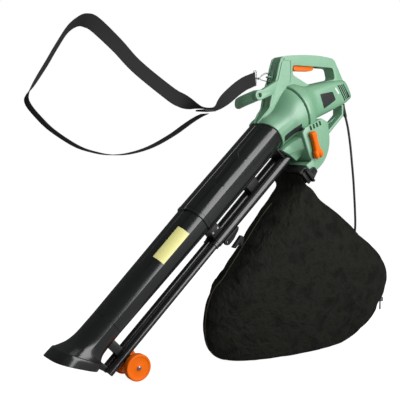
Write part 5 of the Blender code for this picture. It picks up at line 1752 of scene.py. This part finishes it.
@dataclass
class Brackets(Assembly):
    """The bridges between the tubes, the bag's lug and the bag's clip."""

    bridges: tuple[tuple[str, tuple[Pair, ...], float, float], ...] = (
        ("port_bridge", ((0.322, -0.03), (0.3324, -0.03), (0.3324, -0.078),
                         (0.324, -0.078)), 0.03, 0.0165),
        ("mid_bridge", ((0.18, -0.03), (0.224, -0.03), (0.22, -0.086),
                        (0.184, -0.086)), 0.015, 0.0155),
        ("joint_bridge", ((0.006, -0.03), (0.04, -0.03), (0.04, -0.082),
                          (0.006, -0.082)), 0.019, 0.0147))
    play: float = 0.0003

    def bridge(self, name: str, outline: Sequence[Pair], half: float, twin: float) -> None:
        """Build one bridge that fits round the suction tube and the twin tubes.

        Args:
            name: The CAD node that it stands for.
            outline: Its side outline in the tube frame.
            half: Half its width.
            twin: The twin tubes' radius there.
        """
        body = Form().prism(outline, -half, half, TUBE)
        ends = [p[0] for p in outline]
        low, high = min(ends) - 0.02, max(ends) + 0.02
        body.minus(SHAPE.bore(low, high))
        for side in Side:
            body.minus(twin_rod(twin + self.play, side, (low, high)))
        body.bevel(0.0008, 2, 40)
        self.add(body.done(f"{name}_moulding"), DULL_BLACK, name)

    def build(self) -> None:
        """Build the three bridges, the lug, the clip and the joint's screws."""
        for seat in self.bridges:
            self.bridge(*seat)
        lug = rounded([(0.022, -0.104), (0.086, -0.106), (0.079, -0.115),
                       (0.048, -0.123), (0.026, -0.123), (0.018, -0.115)], 0.006)
        body = Form().prism(lug, -0.0215, -0.013, TUBE)
        body.minus(twin_rod(0.0153, Side.NEAR, (0.0, 0.12)),
                   Form().rod(0.0035, TUBE.at(0.03, 0.0, -0.1145), ACROSS, (-0.03, 0.0), 24))
        self.add(body.bevel(0.0008, 2, 40).done("lug_moulding"), DULL_BLACK, "bag_lug")
        clip = rounded([(0.03, -0.137), (0.074, -0.133), (0.076, -0.145),
                        (0.06, -0.1565), (0.052, -0.1565), (0.056, -0.145),
                        (0.034, -0.145)], 0.003)
        body = Form().prism(clip, -0.023, -0.011, TUBE).bevel(0.0018, 3)
        self.add(body.done("clip_moulding"), DULL_BLACK, "bag_clip")
        heads = Form()
        for along in (0.013, 0.033):
            heads.bm.verts.new(TUBE.at(along, -0.0193, -0.06))
        self.add(Patterns.screws().grow("bridge_screws", heads, STEEL, Radius=0.003,
                                        Turn=(math.pi / 2, 0.0, 0.0)), STEEL)


@dataclass
class Wheels(Assembly):
    """The two wheels with their axle caps."""

    radius: float = 0.035
    half: float = 0.01
    spread: float = 0.038
    centre: Triple = (-0.388, 0.0, -0.129)
    face: tuple[Pair, ...] = (
        (0.0, 0.0033), (0.0, 0.007), (0.0004, 0.0076), (0.0013, 0.008), (0.0015, 0.0086),
        (0.0015, 0.0272), (0.0012, 0.028), (0.0002, 0.0288), (0.0, 0.0294), (0.0, 0.0322),
        (0.0006, 0.0337), (0.002, 0.0347))

    def build(self) -> None:
        """Build each wheel with its ribs and cap."""
        face = [(x - self.half, y) for x, y in (*self.face, (0.0034, self.radius))]
        profile = face + [(-x, y) for x, y in reversed(face)]
        for side, body in ((Side.NEAR, Body.NEAR_WHEEL), (Side.FAR, Body.FAR_WHEEL)):
            word = side.word()
            out = ACROSS * side.value
            spot = TUBE.at(*self.centre) + out * self.spread
            wheel = Form().turn(profile, spot, ACROSS, 96)
            ribs = Patterns.ribs().grow(
                f"wheel_ribs_{word}", Form(), ORANGE, Count=12, Radius=0.0178, Width=0.0016,
                Length=0.0016, Rise=0.018, Centre=tuple(spot - out * (self.half - 0.0014)))
            self.add(wheel.done(f"roller_{word}", 25), ORANGE, f"wheel_{word}", body=body)
            self.add(ribs, ORANGE, body=body)
            cap = Form().turn([(0.0, 0.0031), (0.0, 0.0058), (0.0006, 0.0058), (0.0018, 0.0046),
                               (0.0022, 0.0031)], spot + out * (self.half + 0.0006), out, 32)
            self.add(cap.done(f"push_cap_{word}"), STEEL, f"axle_cap_{word}")


@dataclass
class FrontHandle(Assembly):
    """The side grip in front of the housing: its arm and the cross grip."""

    boss: Triple = (-0.203, 0.0, -0.106)
    boss_radius: float = 0.0148
    grip_start: float = -0.0132
    grip_length: float = 0.0867

    def build(self) -> None:
        """Build the arm, then the grip."""
        x, _, z = self.boss
        centre = Vector(self.boss)
        turned = arc((x, z), self.boss_radius, -75, -255, 14)
        outline = [(-0.118, -0.05), (-0.127, -0.09)] + turned + [(-0.19, -0.089)]
        keep_off = [(-0.1575, -0.14), (-0.1475, -0.09), (-0.1335, -0.052),
                    (-0.122, 0.0), (-0.05, 0.0), (-0.05, -0.14)]
        arm = Form().prism(outline, -0.03, -0.0135)
        arm.minus(Form().prism(keep_off, -0.1, 0.1),
                  Form().rod(0.0065, centre, ACROSS, (-0.04, -0.019), 40))
        arm.bevel(0.0022, 3, 35)
        arm.take(Form().turn([(-0.0306, 0.0066), (-0.0306, 0.0086), (-0.0296, 0.0096),
                              (-0.028, 0.0096), (-0.028, 0.0066)], centre, ACROSS, 40))
        self.add(arm.done("side_grip_arm"), GREEN, "front_handle_arm")
        steps = 32
        rings = [self.ring(i / steps) for i in range(steps + 1)]
        self.add(Form().skin(rings).sound().done("side_grip"), GREEN, "front_grip")

    def ring(self, t: float) -> Ring:
        """Return one upright ring of the cross grip, at a part t of its length."""
        swell = math.sin(math.pi * t)
        # It narrows over its last tenth, and a little where it starts.
        end = 1 - max(0.0, (t - 0.9) / 0.1) ** 2.6 * 0.45
        start = 1 - max(0.0, (0.03 - t) / 0.03) ** 2 * 0.1
        thick, tall = (0.013 + 0.0012 * swell) * end * start, 0.0158 * end * start
        x, z = self.boss[0] - 0.01 * swell, self.boss[2] - 0.0195 * t - 0.003 * swell
        y = self.grip_start + self.grip_length * t
        return [Vector((x + thick * bulge(c, 0.77), y, z + tall * bulge(s, 0.77)))
                for c, s in turns(40)]


@dataclass
class Controls(Assembly):
    """The trigger and the selector lever."""

    lever: Slant = Slant((-0.036, 0.0, -0.268), math.radians(19.3))
    spine: tuple[Triple, ...] = (
        (0.0, 0.006, 0.011), (0.002, 0.0095, 0.015), (0.008, 0.0118, 0.0176),
        (0.015, 0.0104, 0.018), (0.024, 0.0092, 0.0176), (0.038, 0.0088, 0.0172),
        (0.05, 0.0094, 0.0172), (0.056, 0.0102, 0.0176), (0.062, 0.0102, 0.0174),
        (0.0655, 0.0086, 0.015), (0.0672, 0.0054, 0.011))

    def build(self) -> None:
        """Build both controls."""
        outline = rounded([
            (-0.063, 0.005), (-0.0655, -0.015), (-0.064, -0.0262), (-0.057, -0.0275),
            (0.003, -0.0243), (0.0105, -0.02), (0.011, -0.0115), (0.024, -0.011),
            (0.024, -0.007), (-0.035, -0.002)], 0.0032, 5)
        paddle = Form().prism(outline, -0.0105, 0.0105).bevel(0.0022, 4, 30)
        self.add(paddle.done("finger_trigger"), ORANGE, "trigger", body=Body.TRIGGER)
        self.add(self.selector().done("air_selector", 40), ORANGE, "selector_lever",
                 body=Body.SELECTOR)

    def selector(self) -> Form:
        """Return the selector lever: a cap above, a spine, and two lobes round the pivot."""
        rings = []
        for up, wide, high in smooth_numbers(self.spine, 4):
            ring = []
            for c, s in turns(40):
                across = wide * bulge(c, 0.72)
                crown = 0.0012 * math.exp(-(across / 0.0032) ** 2) * (s > 0)
                lift = 0.5 + 0.5 * bulge(s, 0.72)
                ring.append(self.lever.at(across - 0.0012, -0.0808 - high * lift - crown, up))
            rings.append(ring)
        form = Form().skin(rings).sound()
        for across, wide in ((-0.0088, 0.0078), (0.0064, 0.0092)):
            lobe = []
            for i in range(13):
                turn = math.pi * (i + 0.5) / 13
                size, up = math.sin(turn) ** 0.85, 0.001 - 0.0128 * math.cos(turn)
                lobe.append([self.lever.at(across + wide * size * c, -0.0907 + 0.0098 * size * s, up)
                             for c, s in turns(32)])
            form.take(Form().skin(lobe).sound())
        return form


@dataclass
class StrapSet(Assembly):
    """The shoulder strap with its slider, end loop, snap hook and eyelet."""

    width: float = 0.038
    thick: float = 0.0016
    ring_y: float = 0.008
    route: tuple[tuple[float, float, float, float], ...] = (
        (-0.1925, 0.005, -0.058, 0), (-0.213, 0.005, -0.0662, 0), (-0.2332, 0.004, -0.0748, 0),
        (-0.2607, 0.003, -0.0917, 2), (-0.2969, 0.001, -0.1185, 9), (-0.333, -0.001, -0.1425, 50),
        (-0.352, -0.002, -0.1468, 86), (-0.384, -0.002, -0.1472, 88),
        (-0.408, -0.002, -0.143, 65), (-0.44, -0.002, -0.131, 25),
        (-0.476, -0.002, -0.115, 6), (-0.574, -0.003, -0.053, 0), (-0.631, 0.0, -0.002, 5),
        (-0.687, 0.003, 0.042, 18), (-0.711, 0.003, 0.05, 35), (-0.732, 0.003, 0.046, 55),
        (-0.76, 0.002, 0.024, 62), (-0.79, 0.0, -0.02, 62), (-0.814, 0.0, -0.06, 62),
        (-0.844, 0.0, -0.107, 66), (-0.862, 0.0, -0.136, 80), (-0.861, 0.0, -0.156, 88),
        (-0.838, 0.0, -0.184, 90), (-0.8, 0.002, -0.217, 90), (-0.738, 0.004, -0.253, 90),
        (-0.688, 0.006, -0.268, 90), (-0.643, 0.006, -0.274, 90), (-0.592, 0.004, -0.27, 90),
        (-0.533, 0.002, -0.253, 90), (-0.471, 0.0, -0.222, 90),
        (-0.42, -0.002, -0.189, 90), (-0.39, -0.002, -0.172, 90),
        (-0.368, -0.002, -0.1625, 90))

    def band(self, rows: Sequence[Sequence[float]]) -> Form:
        """Return webbing along rows of place and turn in degrees."""
        half, thin = self.width / 2, self.thick / 2
        edge = [(-half, 0.0), (-half + 0.0006, thin * 1.25), (-half + 0.003, thin * 1.15),
                (-half + 0.0042, thin)]
        profile = edge + [(-x, y) for x, y in reversed(edge)]
        profile += [(x, -y) for x, y in reversed(profile[1:-1])]
        spots = [Vector(row[:3]) for row in rows]
        rings = []
        for i, (spot, row) in enumerate(zip(spots, rows)):
            ahead = (spots[min(i + 1, len(spots) - 1)] - spots[max(i - 1, 0)]).normalized()
            turn = math.radians(row[3])
            inward = Vector((-ahead.z, 0, ahead.x)).normalized()
            wide = inward * math.cos(turn) + ACROSS * math.sin(turn)
            wide = (wide - ahead * wide.dot(ahead)).normalized()
            face = ahead.cross(wide)
            # The first rows turn over to the way that the hook holds the loop.
            upright = max(0.0, 1 - i / 5)
            wide = (wide * (1 - upright) + Vector((0.1, 0, -0.995)) * upright).normalized()
            rings.append([spot + wide * a + face * b for a, b in profile])
        return Form().skin(rings).mapped(rings).sound()

    def build(self) -> None:
        """Build the webbing, then its hardware."""
        rows = even_path(self.route, 0.006)
        web = self.add(self.band(rows).done("shoulder_webbing", 40), WEBBING, "strap_webbing")
        length = sum((Vector(b[:3]) - Vector(a[:3])).length for a, b in zip(rows, rows[1:]))
        self.stitching(rows)
        plate = rounded(box_outline(-0.384, -0.346, -0.025, 0.021), 0.004)
        slider = self.cut_plate(plate, -0.156, 0.0044)
        for middle in (-0.374, -0.356):
            slot = box_outline(middle - 0.0045, middle + 0.0045, -0.022, 0.018)
            slider.minus(self.cut_plate(slot, -0.17, 0.03))
        self.add(slider.bevel(0.0012, 3).done("webbing_slider"), DULL_BLACK, "strap_slider")
        self.hardware()

    @staticmethod
    def cut_plate(outline: Sequence[Pair], low: float, thick: float) -> Form:
        """Return a level plate of an outline seen from above."""
        return Form().slab([Vector((x, y, low)) for x, y in outline], Vector((0, 0, thick)))

    def stitching(self, rows: Sequence[Sequence[float]]) -> None:
        """Sew the box and cross that hold the webbing's folded end."""
        first, last, half, lift = 2, 7, 0.015, 0.0012
        form = Form()
        a, b = Vector(rows[first][:3]), Vector(rows[last][:3])
        ahead = (b - a).normalized()
        wide = Vector((-ahead.z, 0, ahead.x)).normalized() * half
        out = Vector((0, -lift, 0))
        verts = [form.bm.verts.new(corner + out) for corner in (a + wide, b + wide, b - wide,
                                                                a - wide)]
        for i, j in ((0, 1), (1, 2), (2, 3), (3, 0), (0, 2), (1, 3)):
            form.bm.edges.new((verts[i], verts[j]))
        self.add(Patterns.stitches().grow("webbing_stitches", form, THREAD, Pitch=0.003,
                                          Length=0.0022, Thickness=0.0007), THREAD)

    def hardware(self) -> None:
        """Build the steel loop and snap hook, and the casing's eyelet."""
        y = self.ring_y
        corners = rounded(box_outline(-0.1962, -0.1865, -0.035, -0.077), 0.004, 5)
        loop = Form().sweep([Vector((x, y, z)) for x, z in corners], 0.0014, 14, True)
        self.add(loop.done("end_ring"), STEEL, "strap_end_loop")
        hook = ((-0.18, -0.056), (-0.174, -0.054), (-0.166, -0.046), (-0.154, -0.04),
                (-0.1455, -0.04), (-0.14, -0.044), (-0.1387, -0.05), (-0.14, -0.056),
                (-0.1425, -0.059))
        body = Form().sweep(self.wire(hook), lambda t: 0.0016 + 0.0004 * math.sin(math.pi * t), 16)
        radius = 0.0047
        eye = [Vector((-0.1857 + radius * c, y + radius * s, -0.056)) for c, s in turns(28)]
        body.take(Form().sweep(eye, 0.0014, 12, True))
        body.take(Form().turn([(-0.003, 0), (-0.003, 0.0022), (-0.0022, 0.003),
                               (-0.0004, 0.003), (0.0, 0.0024), (0.0006, 0.003),
                               (0.0024, 0.003), (0.003, 0.002), (0.003, 0)],
                              Vector((-0.1795, y, -0.056)), Vector((1, 0, 0)), 24))
        self.add(body.done("snap_body"), STEEL, "snap_hook")
        gate = self.wire(((-0.1735, -0.058), (-0.16, -0.0608), (-0.147, -0.062)))
        self.add(Form().sweep(gate, 0.0012, 12).done("gate_wire"), STEEL, "snap_gate",
                 body=Body.GATE)
        base = Form().prism([(-0.1379, -0.064), (-0.1335, -0.052), (-0.1287, -0.03),
                             (-0.1319, -0.03), (-0.1367, -0.053), (-0.141, -0.064)],
                            0.001, 0.0145).bevel(0.0006, 2, 40)
        arch = [Vector((-0.1345 - 0.0145 * s, y + 0.0085 * c, -0.05)) for c, s in turns(40)[:21]]
        base.take(Form().sweep(arch, 0.0022, 14))
        self.add(base.done("eyelet_moulding"), GREEN, "strap_eyelet")

    def wire(self, line: Sequence[Pair]) -> list[Vector]:
        """Return the even path of a wire through (x, z) points in the ring's plane."""
        return [Vector(p) for p in even_path([(x, self.ring_y, z) for x, z in line], 0.0015)]


@dataclass
class Bag(Assembly):
    """The hanging cloth bag with its frame, latch, hem and zip."""

    sides: int = 120
    square: float = 2.2
    cap: float = 0.012
    frames: int = 20
    ground: float = -0.8464
    neck: float = -0.372
    voxel: float = 0.0085
    hem_start: int = 30
    zip_rows: tuple[int, int] = (72, 106)
    pull: Triple = (0.31, -0.019, -0.745)
    levels: tuple[tuple[float, ...], ...] = (
        (-0.0836, -0.315, -0.0553, -0.3446, 0.069, 0.0),
        (-0.0945, -0.3205, -0.06, -0.356, 0.0735, 0.0),
        (-0.087, -0.359, -0.02, -0.37, 0.064, -0.004),
        (-0.119, -0.396, 0.005, -0.384, 0.073, -0.005),
        (-0.173, -0.443, 0.04, -0.406, 0.084, -0.006),
        (-0.233, -0.508, 0.105, -0.443, 0.09, -0.01),
        (-0.27, -0.551, 0.193, -0.502, 0.094, -0.01),
        (-0.311, -0.598, 0.268, -0.554, 0.095, -0.01),
        (-0.345, -0.64, 0.316, -0.603, 0.093, -0.01),
        (-0.363, -0.682, 0.337, -0.649, 0.089, -0.01),
        (-0.37, -0.724, 0.33, -0.692, 0.085, -0.01),
        (-0.37, -0.76, 0.299, -0.739, 0.083, -0.01),
        (-0.361, -0.795, 0.276, -0.779, 0.08, -0.01),
        (-0.346, -0.819, 0.242, -0.811, 0.077, -0.01),
        (-0.318, -0.837, 0.186, -0.833, 0.074, -0.01),
        (-0.29, -0.8455, 0.135, -0.8455, 0.069, -0.01))

    def rows(self) -> list[list[float]]:
        """Return the levels filled in: left x and z, right x and z, half depth and middle."""
        return smooth_numbers(self.levels, 9)

    @staticmethod
    def crease(spot: Vector, down: float) -> float:
        """Return how far the cloth stands in or out at a place.

        Args:
            spot: The place.
            down: The part of the bag's height gone, from 0 at the neck.

        Returns:
            The offset in metres, mostly inwards.
        """
        # What is added to a place only sets the patterns apart.
        big = noise.fractal(spot * 9.0, 1.0, 2.0, 2, noise_basis="PERLIN_ORIGINAL")
        stretched = Vector((spot.x * 17, spot.y * 8, spot.z * 13)) + Vector((4, 1, 7))
        ridge = 1 - abs(noise.noise(stretched))
        fine = noise.noise(spot * 46.0 + Vector((11, 3, 5)))
        gather = math.exp(-((down - 0.1) / 0.07) ** 2)
        fold = math.sin(down * 210 + 5 * noise.noise(spot * 20)) * gather
        return 0.0055 * big + 0.005 * (ridge ** 3 - 0.6) + 0.0009 * fine + 0.0034 * fold - 0.002

    def ring(self, row: Sequence[float], down: float) -> Ring:
        """Return one ring of the bag with its creases.

        Args:
            row: Left x and z, right x and z, half depth and middle.
            down: The part of the bag's height gone, from 0 at the neck.

        Returns:
            The points.
        """
        left, right = Vector((row[0], 0, row[1])), Vector((row[2], 0, row[3]))
        half, middle = row[4:]
        reach = right - left
        # The creases fade out at the neck, at the base and at the side seams.
        fade = min(1.0, down * 14) * min(1.0, (1 - down) * 8 + 0.2)
        points = []
        for c, s in turns(self.sides):
            u, v = bulge(s, 2 / self.square), bulge(c, 2 / self.square)
            spot = (left + right) / 2 + reach / 2 * u + Vector((0, middle + half * v, 0))
            out = Vector((reach.x * s / reach.length, v * 1.6, reach.z * s / reach.length))
            edge = 1 - abs(s) ** 6 * 0.85
            spot += out.normalized() * (self.crease(spot, down) * fade * edge)
            points.append(Vector((spot.x, spot.y, max(spot.z, self.ground))))
        return points

    def build(self) -> None:
        """Build the cloth, let it settle, then add its frame, latch, hem and zip."""
        rows = self.rows()
        last = len(rows) - 1
        rings = [self.ring(row, i / last) for i, row in enumerate(rows)]
        cloth = Form().skin(rings).mapped(rings).sound().done("collecting_bag", 60)
        self.settle(cloth)
        self.add(cloth, BAG_CLOTH, "bag")
        skin = BVHTree.FromPolygons([v.co for v in cloth.data.vertices],
                                    [p.vertices for p in cloth.data.polygons])
        self.hem(rows, skin)
        self.frame()
        self.zip(rows, skin)

    def settle(self, cloth: bpy.types.Object) -> None:
        """Fill the cloth with a short simulation and cap how far each point moves.

        Args:
            cloth: The sewn shape, a little small; its mesh becomes the settled one.
        """
        even = cloth.modifiers.new("even", "REMESH")
        even.mode, even.voxel_size, even.use_smooth_shade = "VOXEL", self.voxel, True
        bake(cloth, even)
        before = [v.co.copy() for v in cloth.data.vertices]
        hold = cloth.vertex_groups.new(name="held")
        floor = min(v.z for v in before) + 0.01
        held = [i for i, v in enumerate(before) if v.z > self.neck or v.z < floor]
        hold.add(held, 1.0, "REPLACE")
        step = cloth.modifiers.new("cloth", "CLOTH")
        for key, value in (("quality", 5), ("mass", 0.2), ("bending_stiffness", 0.3),
                           ("use_pressure", True), ("uniform_pressure_force", 4.0),
                           ("vertex_group_mass", "held")):
            setattr(step.settings, key, value)
        step.settings.effector_weights.gravity = 0.0
        for n in range(1, self.frames + 1):
            bpy.context.scene.frame_set(n)
        done = cloth.evaluated_get(bpy.context.evaluated_depsgraph_get()).data
        after = [v.co.copy() for v in done.vertices]
        cloth.modifiers.remove(step)
        bpy.context.scene.frame_set(1)
        for v, a, b in zip(cloth.data.vertices, before, after):
            move = b - a
            if move.length > self.cap:
                move *= self.cap / move.length
            v.co = a + move
            v.co.z = max(v.co.z, self.ground)
        cloth.vertex_groups.clear()
        smooth = cloth.modifiers.new("smooth", "SUBSURF")
        smooth.levels = smooth.render_levels = 1
        bake(cloth, smooth)
        cloth.data.shade_smooth()

    @staticmethod
    def laid(spots: Sequence[Vector], skin: BVHTree) -> list[Vector]:
        """Return the places moved onto the settled cloth, and evened out a little.

        Args:
            spots: The places along a seam.
            skin: The settled cloth.

        Returns:
            As many places on the cloth.
        """
        found = [skin.find_nearest(p)[0] for p in spots]
        for _ in range(3):
            found = [found[0]] + [(a + b * 2 + c) / 4 for a, b, c
                                  in zip(found, found[1:], found[2:])] + [found[-1]]
        return found

    def hem(self, rows: Sequence[Sequence[float]], skin: BVHTree) -> None:
        """Bind the seam that runs round the bag's outline."""
        below = rows[self.hem_start:]
        left = [(r[0] - 0.001, r[5], r[1]) for r in below]
        right = [(r[2] + 0.0006, r[5], r[3]) for r in below]
        path = even_path(left + right[::-1][2:], 0.008)
        spots = [Vector((p.x, p.y, max(p.z, self.ground + 0.0015)))
                 for p in self.laid([Vector(p) for p in path], skin)]
        self.add(Form().sweep(spots, 0.0019, 10).done("bag_hem", 60), HEM)

    def frame(self) -> None:
        """Build the bag's mouth frame with its latch."""
        back, face = 0.3132, 0.3396
        rims = [(s, -0.1165 + out, -0.1665 - out, 0.075 + out) for s, out in (
            (back, 0.0), (0.316, 0.0), (0.3162, 0.001), (0.322, 0.001), (0.3222, 0.0),
            (face, 0.0))]
        rims += [(s, -0.1215, -0.1615, 0.07) for s in (face, back)]
        body = Form().skin([section([*TUBE.flat(s, top), *TUBE.flat(s, low), half, 6.0], 72)
                            for s, top, low, half in rims], caps=False, loop=True).sound()
        blocks = [(box_outline(0.3136, 0.3345, -0.166, -0.128), -0.079, -0.072)]
        blocks += [(box_outline(0.3255, 0.3325, low, low + 0.0051), -0.088, -0.074)
                   for low in (-0.1695, -0.1296)]
        for outline, near, far in blocks:
            body.take(Form().prism(outline, near, far, TUBE).bevel(0.001, 2))
        self.add(body.done("bag_collar"), DULL_BLACK, "bag_frame")
        latch = rounded([(0.3255, -0.164), (0.356, -0.156), (0.356, -0.138),
                         (0.3255, -0.13)], 0.003)
        plate = Form().prism(latch, -0.0878, -0.0818, TUBE)
        for i in range(3):
            s = 0.34 + 0.0045 * i
            groove = box_outline(s, s + 0.0018, -0.155, -0.139)
            plate.minus(Form().prism(groove, -0.09, -0.0868, TUBE))
        plate.bevel(0.0008, 2, 40)
        self.add(plate.done("latch_plate"), DULL_BLACK, "bag_latch", body=Body.LATCH)

    def zip(self, rows: Sequence[Sequence[float]], skin: BVHTree) -> None:
        """Build the zip's teeth, slider and hanging pull."""
        first, last = self.zip_rows
        form = Form()
        verts = [form.bm.verts.new(p) for p in self.laid(
            [Vector((r[2] + 0.0016, r[5] - 0.004, r[3])) for r in rows[first:last]], skin)]
        for pair in zip(verts, verts[1:]):
            form.bm.edges.new(pair)
        self.add(Patterns.stitches().grow("zip_teeth", form, DULL_BLACK, Pitch=0.0032,
                                          Length=0.0018, Thickness=0.0046), DULL_BLACK)
        runner = rounded(box_outline(0.307, 0.319, -0.7424, -0.729), 0.002)
        slider = Form().prism(runner, -0.024, -0.014).bevel(0.001, 2, 40)
        self.add(slider.done("zip_runner"), STEEL, "zip_slider")
        x, y, z = self.pull
        tab = rounded([(x - 0.003, z - 0.024), (x + 0.003, z - 0.024),
                       (x + 0.0024, z + 0.0024), (x - 0.0024, z + 0.0024)], 0.0012)
        pull = Form().prism(tab, y - 0.001, y + 0.001)
        pull.minus(Form().rod(0.0013, Vector((x, y, z - 0.0195)), ACROSS, (-0.01, 0.01), 16))
        self.add(pull.done("zip_tag"), STEEL, "zip_pull", body=Body.ZIP)


@dataclass
class Plates(Assembly):
    """The blank rating plate, control plate and little film, which follow the near side's skin."""

    seats: tuple[tuple[str, Slant, tuple[Pair, Pair, Pair, Pair], Finish], ...] = (
        ("rating_plate", MOTOR, ((0.0938, 0.0202), (0.1474, 0.009), (0.1518, -0.0179),
                                 (0.0942, -0.0256)), DARK_PLATE),
        ("tail_film", MOTOR, ((0.1606, 0.0159), (0.1669, 0.0143), (0.1738, -0.0063),
                              (0.167, -0.0058)), WHITE_FILM),
        ("control_plate", TUBE, ((0.3525, -0.0165), (0.4127, -0.0237), (0.4063, -0.0396),
                                 (0.3464, -0.0355)), DARK_PLATE))

    @staticmethod
    def plate(skin: BVHTree, slant: Slant, corners: Sequence[Pair]) -> Form:
        """Return a thin plate between four corners, laid on the skin from the near side.

        Args:
            skin: The casing's faces.
            slant: The frame that the corners are given in.
            corners: Along and up of the corners, in order.

        Returns:
            The plate.
        """
        columns, lines, outside, sunk, thick = 20, 10, -0.16, 0.0006, 0.0014
        form = Form()
        grid = []
        for j in range(lines + 1):
            line = []
            for i in range(columns + 1):
                u, v = 2 * i / columns - 1, 2 * j / lines - 1
                # The sides bow in a little and the corners are cut round.
                u, v = u * (1 - 0.03 * v ** 8), v * (1 - 0.07 * u ** 14)
                p, q = (1 + u) / 2, (1 + v) / 2
                along, up = ((a * (1 - p) + b * p) * (1 - q) + (d * (1 - p) + c * p) * q
                             for a, b, c, d in zip(*corners))
                hit = skin.ray_cast(slant.at(along, outside, up), ACROSS)[0]
                line.append(form.bm.verts.new(hit - ACROSS * sunk))
            grid.append(line)
        for low, high in zip(grid, grid[1:]):
            for a, b, c, d in zip(high, high[1:], low[1:], low):
                form.bm.faces.new((a, b, c, d))
        form.bm.normal_update()
        return form.through("SOLIDIFY", thickness=thick, offset=-1.0).sound()

    def build(self) -> None:
        """Lay every plate on the near shell."""
        skin = BVHTree.FromObject(bpy.data.objects["casing_near"],
                                  bpy.context.evaluated_depsgraph_get())
        for name, slant, corners, finish in self.seats:
            self.add(self.plate(skin, slant, corners).done(name, 40), finish)


@dataclass
class Workings(Assembly):
    """The parts that stay as the CAD model's own solids, each with its finish."""

    finishes: tuple[tuple[Finish, tuple[str, ...]], ...] = (
        (IRON, ("motor_stator",)),
        (COPPER, ("armature_core", "commutator")),
        (STEEL, ("motor_shaft", "front_bearing", "rear_bearing", "impeller_nut",
                 "diverter_shaft", "trigger_pin", "latch_pin", "wheel_axle", "grip_screw")),
        (CARBON, ("carbon_brush_upper", "carbon_brush_lower")),
        (DULL_BLACK, ("motor_bulkhead", "motor_impeller", "diverter_flap", "trigger_switch")),
    )

    def build(self) -> None:
        """Dress every one of them."""
        for finish, names in self.finishes:
            for name in names:
                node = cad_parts[name]
                node.data.materials.clear()
                node.data.materials.append(finish.make())
                log.info("Workings: %s dressed", name)


def main() -> None:
    """Build every sub-assembly in order and report each piece."""
    logging.basicConfig(level=logging.INFO, format="%(message)s")
    PhotoCamera().build()
    for kind in (PowerLead, Housing, Plates, SuctionTubes, Nozzle, BlowerTubes, Brackets,
                 Wheels, FrontHandle, Controls, StrapSet, Bag, Workings):
        part = kind()
        part.build()
        for piece in part.made:
            faces = len(piece.data.polygons) if piece.type == "MESH" else 0
            log.info("%s: %s, %d faces", kind.__name__, piece.name, faces)
    Studio().build()


if __name__ == "__main__":
    main()
